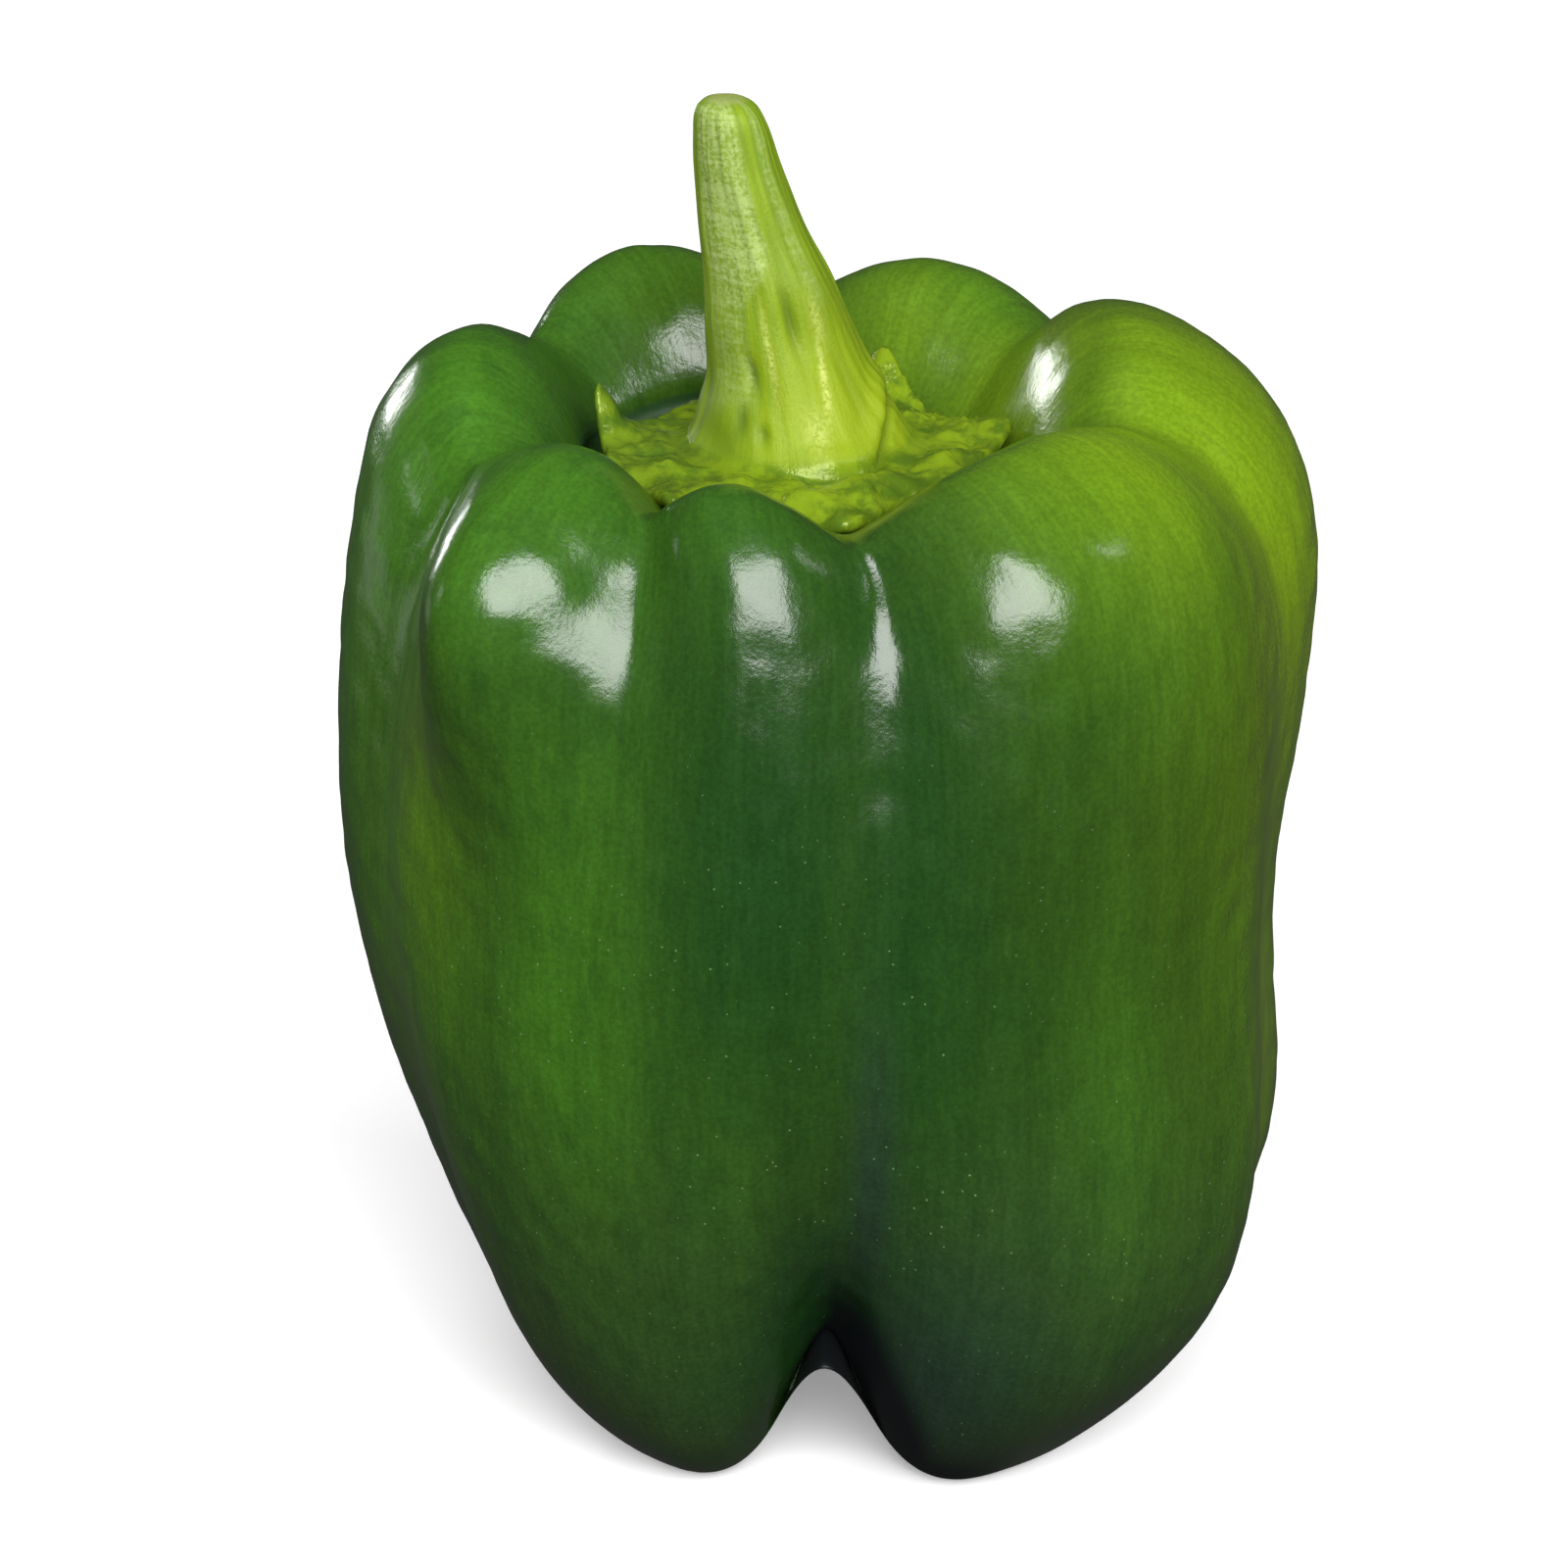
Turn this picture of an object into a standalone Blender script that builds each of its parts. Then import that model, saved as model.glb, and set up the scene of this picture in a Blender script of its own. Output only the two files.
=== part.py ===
"""A green bell pepper standing on its four feet, with its calyx and cut stem.

The fruit is a stack of lobed rings, each ring a formula of the direction round the core, joined by one
smooth curve from the hollow under the calyx, over the shoulders, down the flanks and under the feet to
the blossom end. The stem is a stack of rings along a leaning path, and it flares into a calyx of pointed
lobes.

Metres, +Z up. The origin is on the resting surface, under the middle of the pepper. Directions are
degrees seen from above: 0 is +X (right), 90 is +Y (back), 180 is left and 270 is the front.
"""

import bpy
import numpy as np

MM = 0.001

# Each row is one lobe of the wall: the direction of its middle at the crest and at the foot, then the
# radius and height of its crest, and its radius at the shoulder, belly, waist, hip, ankle and sole.
LOBES = np.array([
    # crest  foot    crest r, z    shoulder  belly  waist  hip    ankle  sole
    (12.0,   18.0,   29.5, 102.5,  43.8,     43.4,  40.9,  41.8,  36.5,  21.5),   # right
    (65.0,   62.0,   29.0, 101.0,  42.0,     42.0,  40.0,  39.0,  34.0,  21.0),   # back right
    (115.0,  122.0,  30.0, 102.5,  43.0,     43.0,  41.0,  38.5,  33.5,  21.0),   # back left
    (167.0,  164.0,  29.5, 101.0,  43.6,     45.2,  43.8,  38.6,  32.5,  20.5),   # left
    (222.0,  226.0,  29.0, 99.8,   42.0,     43.9,  43.3,  39.5,  33.3,  19.5),   # front left
    (257.5,  259.0,  28.5, 99.5,   39.6,     42.4,  42.0,  39.5,  34.3,  22.3),   # front middle
    (320.0,  300.0,  30.0, 99.5,   42.5,     43.5,  42.8,  43.6,  37.1,  22.0),   # front right
])
LOBE_DOWN = (0.0, 0.0, 0.15, 0.3, 0.5, 0.75, 0.9, 1.0)  # how far down the flank each figure is read
LOBE_BLEND = 10.0  # how narrowly a direction follows its nearest lobe

# The front left shoulder swells into a square corner: its direction and width, and by how much the
# figures of these columns grow there, the shoulder's and the belly's.
CORNER_DIRECTION = 224.3
CORNER_WIDTH = 10.8
CORNER_SWELLING = {4: 6.5, 5: 0.2}

# Each row is one groove between lobes: its direction at the crest and at the foot, its reach to each
# side there, and its depth at the crest, the waist and the foot.
GROOVES = np.array([
    # crest  foot    reach       crest  waist  foot
    (279.0,  269.0,  43.0, 31.0, 7.0,   3.0,   16.0),   # front
    (344.0,  350.0,  34.0, 32.0, 4.5,   1.8,   7.0),    # front right
    (43.0,   42.0,   38.0, 24.0, 6.0,   0.6,   1.0),    # back right
    (92.0,   92.0,   40.0, 32.0, 6.5,   2.0,   12.0),   # back
    (143.0,  142.0,  38.0, 24.0, 6.0,   0.6,   1.0),    # back left
    (199.0,  195.0,  45.0, 34.0, 6.9,   2.3,   7.0),    # left
    (242.0,  242.0,  24.2, 24.2, 5.9,   0.2,   0.0),    # front left
])

# The heights of the rings below the crest.
SHOULDER_Z = 85 * MM
BELLY_Z = 67 * MM
WAIST_Z = 47 * MM
HIP_Z = 27 * MM
ANKLE_Z = 11 * MM
TOE_Z = 3 * MM
TOE_BEYOND_SOLE = 7 * MM
SOLE_HALF_WIDTH = 1.7 * MM
SOLE_FLAT = 0.3 * MM  # taken off the lowest points, so that each foot has a flat spot

# The hollow in the top, where the calyx sits, and the dimple at the blossom end.
CREST_STATION = 4
HOLLOW_X = -2.7 * MM
SEAT_RADIUS = 11 * MM
SEAT_Z = 84 * MM
WALL_RADIUS = 17.5 * MM
WALL_Z = 88 * MM
LIP_INSIDE_CREST = 7.5 * MM
LIP_BELOW_CREST = 5 * MM
DIMPLE_Z = 9 * MM
ARCH_RADIUS = 11 * MM
ARCH_Z = 4.5 * MM

# Each row is one ring of the stem, from its cut tip to its foot on the calyx: the middle's place along X,
# the radius and the height.
STEM = np.array([
    # x      radius  z
    (-9.3,   0.0,    123.6),
    (-9.2,   2.2,    123.2),
    (-8.8,   3.3,    120.8),
    (-8.4,   3.7,    117.7),
    (-7.6,   4.2,    114.2),
    (-6.6,   4.8,    110.5),
    (-5.6,   5.6,    107.0),
    (-4.5,   6.5,    102.0),
    (-3.6,   7.3,    98.3),
    (-3.1,   8.4,    95.4),
    (-2.8,   9.2,    93.4),
    (-2.7,   10.2,   92.2),
])
STEM_RIDGES = 5
STEM_RIDGE_DIRECTION = 262.0
STEM_RIDGE_DEPTH = 0.05  # of the radius

# Each row is one pointed lobe of the calyx: its direction, how far it reaches past the rim, the lift of
# its tip and its half width.
CALYX_LOBES = np.array([
    # direction  reach  lift  half width
    (4.0,        4.0,   2.0,  34.0),   # right
    (63.0,       2.0,   6.0,  26.0),   # back right
    (118.0,      0.5,   0.5,  30.0),   # back left
    (178.0,      3.7,   9.0,  26.0),   # left, a thin horn
    (232.0,      3.0,   1.5,  34.0),   # front left
    (281.0,      6.5,   0.0,  30.0),   # front
    (325.0,      2.5,   0.5,  28.0),   # front right
])
CALYX_RIM_RADIUS = 15 * MM
CALYX_Z = 91.3 * MM
CALYX_THICKNESS = 1.4 * MM
CALYX_SHARES = (0.35, 0.75, 1.0)  # of the way from the stem's foot to the edge
BASE_RADIUS = 9.5 * MM
CLEARANCE = 0.4 * MM  # between the calyx and the fruit

FRUIT_COLUMNS = 80
FRUIT_STEP = 4.6 * MM
CALYX_COLUMNS = 60
CALYX_STEP = 2.3 * MM
HOLLOW_STEP = 1.2 * MM
KNOT_DIRECTIONS = np.arange(72) * 5.0

SKIN_GREEN = (0.055, 0.17, 0.018, 1.0)
STEM_GREEN = (0.30, 0.45, 0.035, 1.0)


def around(column, down, directions):
    """A figure of the lobes read at any direction: their mean, weighed by exp of the cosine between.

    The corner is added to it as a bell: its figure times exp of -(turn / width) squared.
    """
    middles = LOBES[:, 0] + (LOBES[:, 1] - LOBES[:, 0]) * down
    between = np.radians(directions[:, None] - middles[None, :])
    weights = np.exp(LOBE_BLEND * (np.cos(between) - 1))
    figure = weights @ LOBES[:, column] / weights.sum(axis=1)
    turn = (directions - CORNER_DIRECTION + 180) % 360 - 180
    bell = np.exp(-(turn / CORNER_WIDTH) ** 2)
    return (figure + CORNER_SWELLING.get(column, 0.0) * bell) * MM


def groove_cut(directions, down, crest, waist, foot, sharpness):
    """How deep the grooves cut at each direction: each eases out as (1 - distance / reach) cubed."""
    cut = np.zeros_like(directions)
    for top, bottom, top_reach, bottom_reach, at_crest, at_waist, at_foot in GROOVES:
        middle = top + (bottom - top) * down
        reach = top_reach + (bottom_reach - top_reach) * down
        chord = 2 * np.sin(np.radians(directions - middle) / 2)
        away = np.sqrt(chord**2 + sharpness**2) - sharpness
        depth = (at_crest * crest + at_waist * waist + at_foot * foot) * MM
        cut += depth * np.clip(1 - away / np.radians(reach), 0, None) ** 3
    return cut


def fruit_stations(directions):
    """The rings that the wall passes through, from the hollow's middle to the blossom end.

    Each is the lobes' smooth outline, cut back along the profile's own normal by the grooves.
    """
    crest_r, crest_z, shoulder, belly, waist, hip, ankle, sole = (
        around(column, down, directions) for column, down in enumerate(LOBE_DOWN, start=2)
    )
    level = np.ones_like(directions)
    # radius, height, share of the hollow's shift, way down, share of the crest's, waist's and foot's
    # groove depth, and the roundness of the groove's bottom
    stations = (
        (0 * level, SEAT_Z * level, 1.0, 0.0, 0.0, 0.0, 0.0, 0.1),
        (SEAT_RADIUS * level, SEAT_Z * level, 1.0, 0.0, 0.0, 0.0, 0.0, 0.1),
        (WALL_RADIUS * level, WALL_Z * level, 1.0, 0.0, 0.15, 0.0, 0.0, 0.1),
        (crest_r - LIP_INSIDE_CREST, crest_z - LIP_BELOW_CREST, 1.0, 0.0, 0.6, 0.0, 0.0, 0.06),
        (crest_r, crest_z, 1.0, 0.0, 1.0, 0.0, 0.0, 0.05),
        (crest_r + 0.62 * (shoulder - crest_r), crest_z - 0.27 * (crest_z - SHOULDER_Z), 0.5, 0.05,
         0.95, 0.0, 0.0, 0.05),
        (shoulder, SHOULDER_Z * level, 0.0, 0.15, 0.6, 0.3, 0.0, 0.07),
        (belly, BELLY_Z * level, 0.0, 0.3, 0.2, 0.8, 0.0, 0.1),
        (waist, WAIST_Z * level, 0.0, 0.5, 0.0, 1.0, 0.0, 0.12),
        (hip, HIP_Z * level, 0.0, 0.75, 0.0, 0.5, 0.35, 0.1),
        (ankle, ANKLE_Z * level, 0.0, 0.9, 0.0, 0.0, 0.8, 0.08),
        (sole + TOE_BEYOND_SOLE, TOE_Z * level, 0.0, 1.0, 0.0, 0.0, 1.0, 0.08),
        (sole + SOLE_HALF_WIDTH, 0 * level, 0.0, 1.0, 0.0, 0.0, 1.0, 0.08),
        (sole - SOLE_HALF_WIDTH, 0 * level, 0.0, 1.0, 0.0, 0.0, 1.0, 0.08),
        (ARCH_RADIUS * level, ARCH_Z * level, 0.0, 1.0, 0.0, 0.0, 0.5, 0.1),
        (0 * level, DIMPLE_Z * level, 0.0, 1.0, 0.0, 0.0, 0.0, 0.1),
    )
    radii = np.array([station[0] for station in stations])
    heights = np.array([station[1] for station in stations])
    shift = np.array([[station[2] * HOLLOW_X] for station in stations])
    run_r = np.gradient(radii.mean(axis=1))
    run_z = np.gradient(heights.mean(axis=1))
    length = np.hypot(run_r, run_z)
    for k, station in enumerate(stations):
        cut = groove_cut(directions, *station[3:])
        radii[k] += cut * run_z[k] / length[k]
        heights[k] -= cut * run_r[k] / length[k]
    radii[[0, -1]] = 0
    turn = np.radians(directions)
    return np.stack([radii * np.cos(turn) + shift, radii * np.sin(turn), heights], axis=2)


def knots_of(stations):
    """How far along the profile each ring lies, as the mean of its columns."""
    steps = np.linalg.norm(np.diff(stations, axis=0), axis=2).mean(axis=1)
    return np.concatenate([[0], np.cumsum(steps)])


def smooth_through(stations, knots, where):
    """The cubic curve of even curvature through the stations, level at both ends, read at each where."""
    gaps = np.diff(knots)
    slopes = np.diff(stations, axis=0) / gaps[:, None, None]
    last = len(knots) - 1
    matrix = np.eye(last + 1)
    right_side = np.zeros_like(stations)
    right_side[0] = slopes[0] * (1, 1, 0)
    right_side[last] = slopes[-1] * (1, 1, 0)
    for k in range(1, last):
        matrix[k, k - 1:k + 2] = gaps[k], 2 * (gaps[k - 1] + gaps[k]), gaps[k - 1]
        right_side[k] = 3 * (gaps[k] * slopes[k - 1] + gaps[k - 1] * slopes[k])
    tangents = np.linalg.solve(matrix, right_side.reshape(last + 1, -1)).reshape(stations.shape)
    piece = np.clip(np.searchsorted(knots, where, side="right") - 1, 0, last - 1)
    gap = gaps[piece][:, None, None]
    t = ((where - knots[piece]) / gaps[piece])[:, None, None]
    return (
        (2 * t**3 - 3 * t**2 + 1) * stations[piece]
        + (t**3 - 2 * t**2 + t) * gap * tangents[piece]
        + (3 * t**2 - 2 * t**3) * stations[piece + 1]
        + (t**3 - t**2) * gap * tangents[piece + 1]
    )


def places_along(knots, step):
    """Places along a profile about one step apart, with every knot among them."""
    spans = zip(knots[:-1], knots[1:])
    parts = [np.linspace(a, b, int(np.ceil((b - a) / step)), endpoint=False) for a, b in spans]
    return np.concatenate(parts + [knots[-1:]])


def fruit_rings(directions, step):
    """The fruit's points: every row runs round the core, from the hollow's middle to the blossom end."""
    knots = knots_of(fruit_stations(KNOT_DIRECTIONS))
    rings = smooth_through(fruit_stations(directions), knots, places_along(knots, step))
    rings[..., 2] = np.maximum(rings[..., 2] - SOLE_FLAT, 0)
    return rings


def hollow_heights(directions, rings):
    """The height of the fruit's hollow under each point of some rings that run along the directions."""
    knots = knots_of(fruit_stations(KNOT_DIRECTIONS))
    places = places_along(knots[:CREST_STATION + 1], HOLLOW_STEP)
    hollow = smooth_through(fruit_stations(directions), knots, places)
    out = np.hypot(hollow[..., 0] - HOLLOW_X, hollow[..., 1])
    asked = np.hypot(rings[..., 0] - HOLLOW_X, rings[..., 1])
    columns = range(len(directions))
    return np.array([np.interp(asked[:, k], out[:, k], hollow[:, k, 2]) for k in columns]).T - SOLE_FLAT


def calyx_figure(directions, column, power):
    """A figure of the calyx's lobes at each direction, full at a lobe's middle and easing to its sides."""
    away = np.abs((directions[:, None] - CALYX_LOBES[None, :, 0] + 180) % 360 - 180)
    near = np.clip(1 - away / CALYX_LOBES[None, :, 3], 0, None) ** power
    return near @ CALYX_LOBES[:, column] * MM


def ring(directions, middle_x, radius, height):
    turn = np.radians(directions)
    level = np.ones_like(directions)
    return np.stack([middle_x + radius * np.cos(turn), radius * np.sin(turn), height * level], axis=1)


def stem_and_calyx_rings(directions, step):
    """Rings from the stem's cut tip down to its foot, out over the calyx to its edge, and back under it."""
    reach = CALYX_RIM_RADIUS + calyx_figure(directions, 1, 1.5)
    lift = calyx_figure(directions, 2, 3.0)
    ridges = np.cos(STEM_RIDGES * np.radians(directions - STEM_RIDGE_DIRECTION))
    stations = [
        ring(directions, x, radius * (1 + STEM_RIDGE_DEPTH * ridges), height)
        for x, radius, height in STEM * MM
    ]
    foot_x, foot_radius, foot_z = STEM[-1] * MM
    for share in CALYX_SHARES:
        radius = foot_radius + (reach - foot_radius) * share
        height = CALYX_Z + (foot_z - CALYX_Z) * (1 - share) ** 3 + lift * share**3
        stations.append(ring(directions, foot_x, radius, height))
    stations = np.array(stations)
    knots = knots_of(stations)
    places = places_along(knots, step)
    top = smooth_through(stations, knots, places)
    flat = top[places > knots[len(STEM) - 1]]
    floor = hollow_heights(directions, flat) + CLEARANCE
    flat[..., 2] = np.maximum(flat[..., 2], floor + CALYX_THICKNESS)
    under = flat.copy()
    under[..., 2] = np.maximum(under[..., 2] - CALYX_THICKNESS, floor)
    edge = (flat[-1:] + under[-1:]) / 2
    base_z = SEAT_Z - SOLE_FLAT + CLEARANCE
    base = [ring(directions, foot_x, radius * BASE_RADIUS, base_z + rise * MM)
            for radius, rise in ((1.0, 3.0), (0.97, 0.4), (0.9, 0.0), (0.45, 0.0), (0.0, 0.0))]
    return np.concatenate([top[:-len(flat)], flat[:-1], edge, under[-2::-1], base])


def closed_object(name, rings, finish):
    """An object from rings of points, the first and last of which are drawn together into one point."""
    columns = rings.shape[1]
    middle = rings[1:-1].reshape(-1, 3)
    points = np.vstack([middle, rings[0].mean(axis=0), rings[-1].mean(axis=0)])
    top = len(middle)
    bottom = top + 1
    side = np.arange(columns)
    beside = (side + 1) % columns
    faces = []
    for row in range(len(rings) - 3):
        here = row * columns
        below = here + columns
        faces += np.stack([here + side, below + side, below + beside, here + beside], axis=1).tolist()
    last = (len(rings) - 3) * columns
    faces += [(top, a, b) for a, b in zip(side.tolist(), beside.tolist())]
    faces += [(bottom, last + b, last + a) for a, b in zip(side.tolist(), beside.tolist())]
    mesh = bpy.data.meshes.new(name)
    mesh.from_pydata(points.tolist(), [], faces)
    mesh.shade_smooth()
    mesh.materials.append(finish)
    made = bpy.data.objects.new(name, mesh)
    bpy.context.scene.collection.objects.link(made)
    return made


def plain_material(name, colour, roughness):
    made = bpy.data.materials.new(name)
    made.use_nodes = True
    shader = made.node_tree.nodes["Principled BSDF"]
    shader.inputs["Base Color"].default_value = colour
    shader.inputs["Roughness"].default_value = roughness
    return made


def even_directions(columns):
    return np.arange(columns) * 360 / columns


def main():
    for old in list(bpy.data.objects):
        bpy.data.objects.remove(old)
    skin = plain_material("skin", SKIN_GREEN, 0.25)
    stem = plain_material("stem", STEM_GREEN, 0.6)
    closed_object("fruit", fruit_rings(even_directions(FRUIT_COLUMNS), FRUIT_STEP), skin)
    calyx_directions = even_directions(CALYX_COLUMNS)
    closed_object("stem_and_calyx", stem_and_calyx_rings(calyx_directions, CALYX_STEP), stem)


main()
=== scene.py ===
# %% [markdown]
# # A green bell pepper
#
# This lesson dresses the solid model of a green bell pepper: a lobed, glossy fruit that stands on its
# feet, and the ribbed stem and calyx in the hollow on its top. The solids give every size. Here each of
# them gets a finer surface of the same form, a skin with its own colours and gloss, a floor and light.
#
# Directions are degrees seen from above: 0 is right, 90 is the back, 180 is left and 270 is the front.

# %% Load the solid model
import bpy
import numpy as np
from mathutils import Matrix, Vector


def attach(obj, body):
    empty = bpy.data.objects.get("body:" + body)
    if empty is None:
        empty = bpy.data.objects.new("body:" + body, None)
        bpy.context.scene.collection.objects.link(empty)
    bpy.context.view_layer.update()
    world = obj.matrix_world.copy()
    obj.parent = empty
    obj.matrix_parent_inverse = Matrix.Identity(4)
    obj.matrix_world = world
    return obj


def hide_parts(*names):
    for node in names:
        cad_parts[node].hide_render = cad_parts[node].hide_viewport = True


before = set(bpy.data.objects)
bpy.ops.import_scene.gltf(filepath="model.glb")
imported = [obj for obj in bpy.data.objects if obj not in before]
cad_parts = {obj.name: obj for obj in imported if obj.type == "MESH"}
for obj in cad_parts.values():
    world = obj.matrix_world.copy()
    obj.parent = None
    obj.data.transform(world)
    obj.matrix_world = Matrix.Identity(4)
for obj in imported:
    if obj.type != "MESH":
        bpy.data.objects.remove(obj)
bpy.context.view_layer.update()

MM = 0.001
print("nodes:", list(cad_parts))

# %% [markdown]
# ## The camera
#
# The pepper is seen from a little above, from some way off through a long lens, so its sides hardly
# draw together. A lens of 216 mm on a 36 mm sensor, 0.85 m away, gives that. `to_track_quat` turns the
# camera so that it looks along the line to its target, which needs no constraint.

# %% Place the camera
CAMERA_TARGET = Vector((-0.0041, 0.0, 0.059))
CAMERA_ELEVATION = 21.0
CAMERA_DISTANCE = 0.85
CAMERA_LENS = 216.3


def towards(direction, elevation):
    """The unit vector at a direction and an elevation: cosine and sine of one, by those of the other."""
    turn, rise = np.radians((direction, elevation))
    return Vector((np.cos(rise) * np.cos(turn), np.cos(rise) * np.sin(turn), np.sin(rise)))


camera_data = bpy.data.cameras.new("camera")
camera_data.lens = CAMERA_LENS
camera_data.sensor_width = 36.0
camera = bpy.data.objects.new("camera", camera_data)
bpy.context.scene.collection.objects.link(camera)
camera.location = CAMERA_TARGET + CAMERA_DISTANCE * towards(270, CAMERA_ELEVATION)
camera.rotation_mode = "QUATERNION"
camera.rotation_quaternion = (CAMERA_TARGET - camera.location).to_track_quat("-Z", "Y")
bpy.context.scene.camera = camera
print("camera at", [round(x, 3) for x in camera.location])

# %% [markdown]
# ## The lobes and grooves of the fruit
#
# A bell pepper grows as a ring of lobes, each with its own width and length, and the wall is drawn in
# between them. It could be sculpted, but sizes are easier to keep in a table: one row for each lobe, with
# the radius of its middle at seven heights, and one row for each groove, with its depth at three.

# %% Write down the lobes and grooves
LOBES = np.array([
    # crest  foot    crest r, z    shoulder  belly  waist  hip    ankle  sole
    (12.0,   18.0,   29.5, 102.5,  43.8,     43.4,  40.9,  41.8,  36.5,  21.5),   # right
    (65.0,   62.0,   29.0, 101.0,  42.0,     42.0,  40.0,  39.0,  34.0,  21.0),   # back right
    (115.0,  122.0,  30.0, 102.5,  43.0,     43.0,  41.0,  38.5,  33.5,  21.0),   # back left
    (167.0,  164.0,  29.5, 101.0,  43.6,     45.2,  43.8,  38.6,  32.5,  20.5),   # left
    (222.0,  226.0,  29.0, 99.8,   42.0,     43.9,  43.3,  39.5,  33.3,  19.5),   # front left
    (257.5,  259.0,  28.5, 99.5,   39.6,     42.4,  42.0,  39.5,  34.3,  22.3),   # front middle
    (320.0,  300.0,  30.0, 99.5,   42.5,     43.5,  42.8,  43.6,  37.1,  22.0),   # front right
])
LOBE_DOWN = (0.0, 0.0, 0.15, 0.3, 0.5, 0.75, 0.9, 1.0)
LOBE_BLEND = 10.0

# The front left shoulder swells into a square corner: its direction and width, and by how much the
# figures of these columns grow there, the shoulder's and the belly's.
CORNER_DIRECTION = 224.3
CORNER_WIDTH = 10.8
CORNER_SWELLING = {4: 6.5, 5: 0.2}

GROOVES = np.array([
    # crest  foot    reach       crest  waist  foot
    (279.0,  269.0,  43.0, 31.0, 7.0,   3.0,   16.0),   # front
    (344.0,  350.0,  34.0, 32.0, 4.5,   1.8,   7.0),    # front right
    (43.0,   42.0,   38.0, 24.0, 6.0,   0.6,   1.0),    # back right
    (92.0,   92.0,   40.0, 32.0, 6.5,   2.0,   12.0),   # back
    (143.0,  142.0,  38.0, 24.0, 6.0,   0.6,   1.0),    # back left
    (199.0,  195.0,  45.0, 34.0, 6.9,   2.3,   7.0),    # left
    (242.0,  242.0,  24.2, 24.2, 5.9,   0.2,   0.0),    # front left
])
print(len(LOBES), "lobes,", len(GROOVES), "grooves")

# %% Read the lobes and grooves at any direction
def around(column, down, directions):
    """A figure of the lobes read at any direction: their mean, weighed by exp of the cosine between.

    The corner is added to it as a bell: its figure times exp of -(turn / width) squared.
    """
    middles = LOBES[:, 0] + (LOBES[:, 1] - LOBES[:, 0]) * down
    between = np.radians(directions[:, None] - middles[None, :])
    weights = np.exp(LOBE_BLEND * (np.cos(between) - 1))
    figure = weights @ LOBES[:, column] / weights.sum(axis=1)
    turn = (directions - CORNER_DIRECTION + 180) % 360 - 180
    bell = np.exp(-(turn / CORNER_WIDTH) ** 2)
    return (figure + CORNER_SWELLING.get(column, 0.0) * bell) * MM


def groove_cut(directions, down, crest, waist, foot, roundness):
    """How deep the grooves cut at each direction: each eases out as (1 - distance / reach) cubed."""
    cut = np.zeros_like(directions)
    for top, bottom, top_reach, bottom_reach, at_crest, at_waist, at_foot in GROOVES:
        middle = top + (bottom - top) * down
        reach = top_reach + (bottom_reach - top_reach) * down
        chord = 2 * np.sin(np.radians(directions - middle) / 2)
        away = np.sqrt(chord**2 + roundness**2) - roundness
        depth = (at_crest * crest + at_waist * waist + at_foot * foot) * MM
        cut += depth * np.clip(1 - away / np.radians(reach), 0, None) ** 3
    return cut


compass = np.arange(0, 360, 60.0)
print("shoulder radius by direction, mm:", np.round(around(4, 0.15, compass) / MM, 1))
print("groove depth at the crest, mm:", np.round(groove_cut(compass, 0, 1, 0, 0, 0.05) / MM, 1))

# %% [markdown]
# ## The profile of the wall
#
# One line runs over the whole fruit: from the middle of the hollow where the calyx sits, up its wall,
# over the crest, down the flank, under the foot and up to the blossom end. Sixteen stations fix it in
# every direction. A cubic curve of even curvature through them keeps the gloss free of kinks, which a
# chain of arcs or a coarse mesh with a subdivision modifier would show as breaks in each highlight.

# %% Write down the heights and the hollow
SHOULDER_Z, BELLY_Z, WAIST_Z, HIP_Z, ANKLE_Z, TOE_Z = (h * MM for h in (85, 67, 47, 27, 11, 3))
TOE_BEYOND_SOLE = 7 * MM
SOLE_HALF_WIDTH = 1.7 * MM
SOLE_FLAT = 0.3 * MM
CREST_STATION = 4
HOLLOW_X = -2.7 * MM
SEAT_RADIUS, SEAT_Z = 11 * MM, 84 * MM
WALL_RADIUS, WALL_Z = 17.5 * MM, 88 * MM
LIP_INSIDE_CREST, LIP_BELOW_CREST = 7.5 * MM, 5 * MM
DIMPLE_Z = 9 * MM
ARCH_RADIUS, ARCH_Z = 11 * MM, 4.5 * MM
print("the calyx sits", round(SEAT_Z / MM), "mm up, in a hollow", round(2 * WALL_RADIUS / MM), "mm across")

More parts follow.
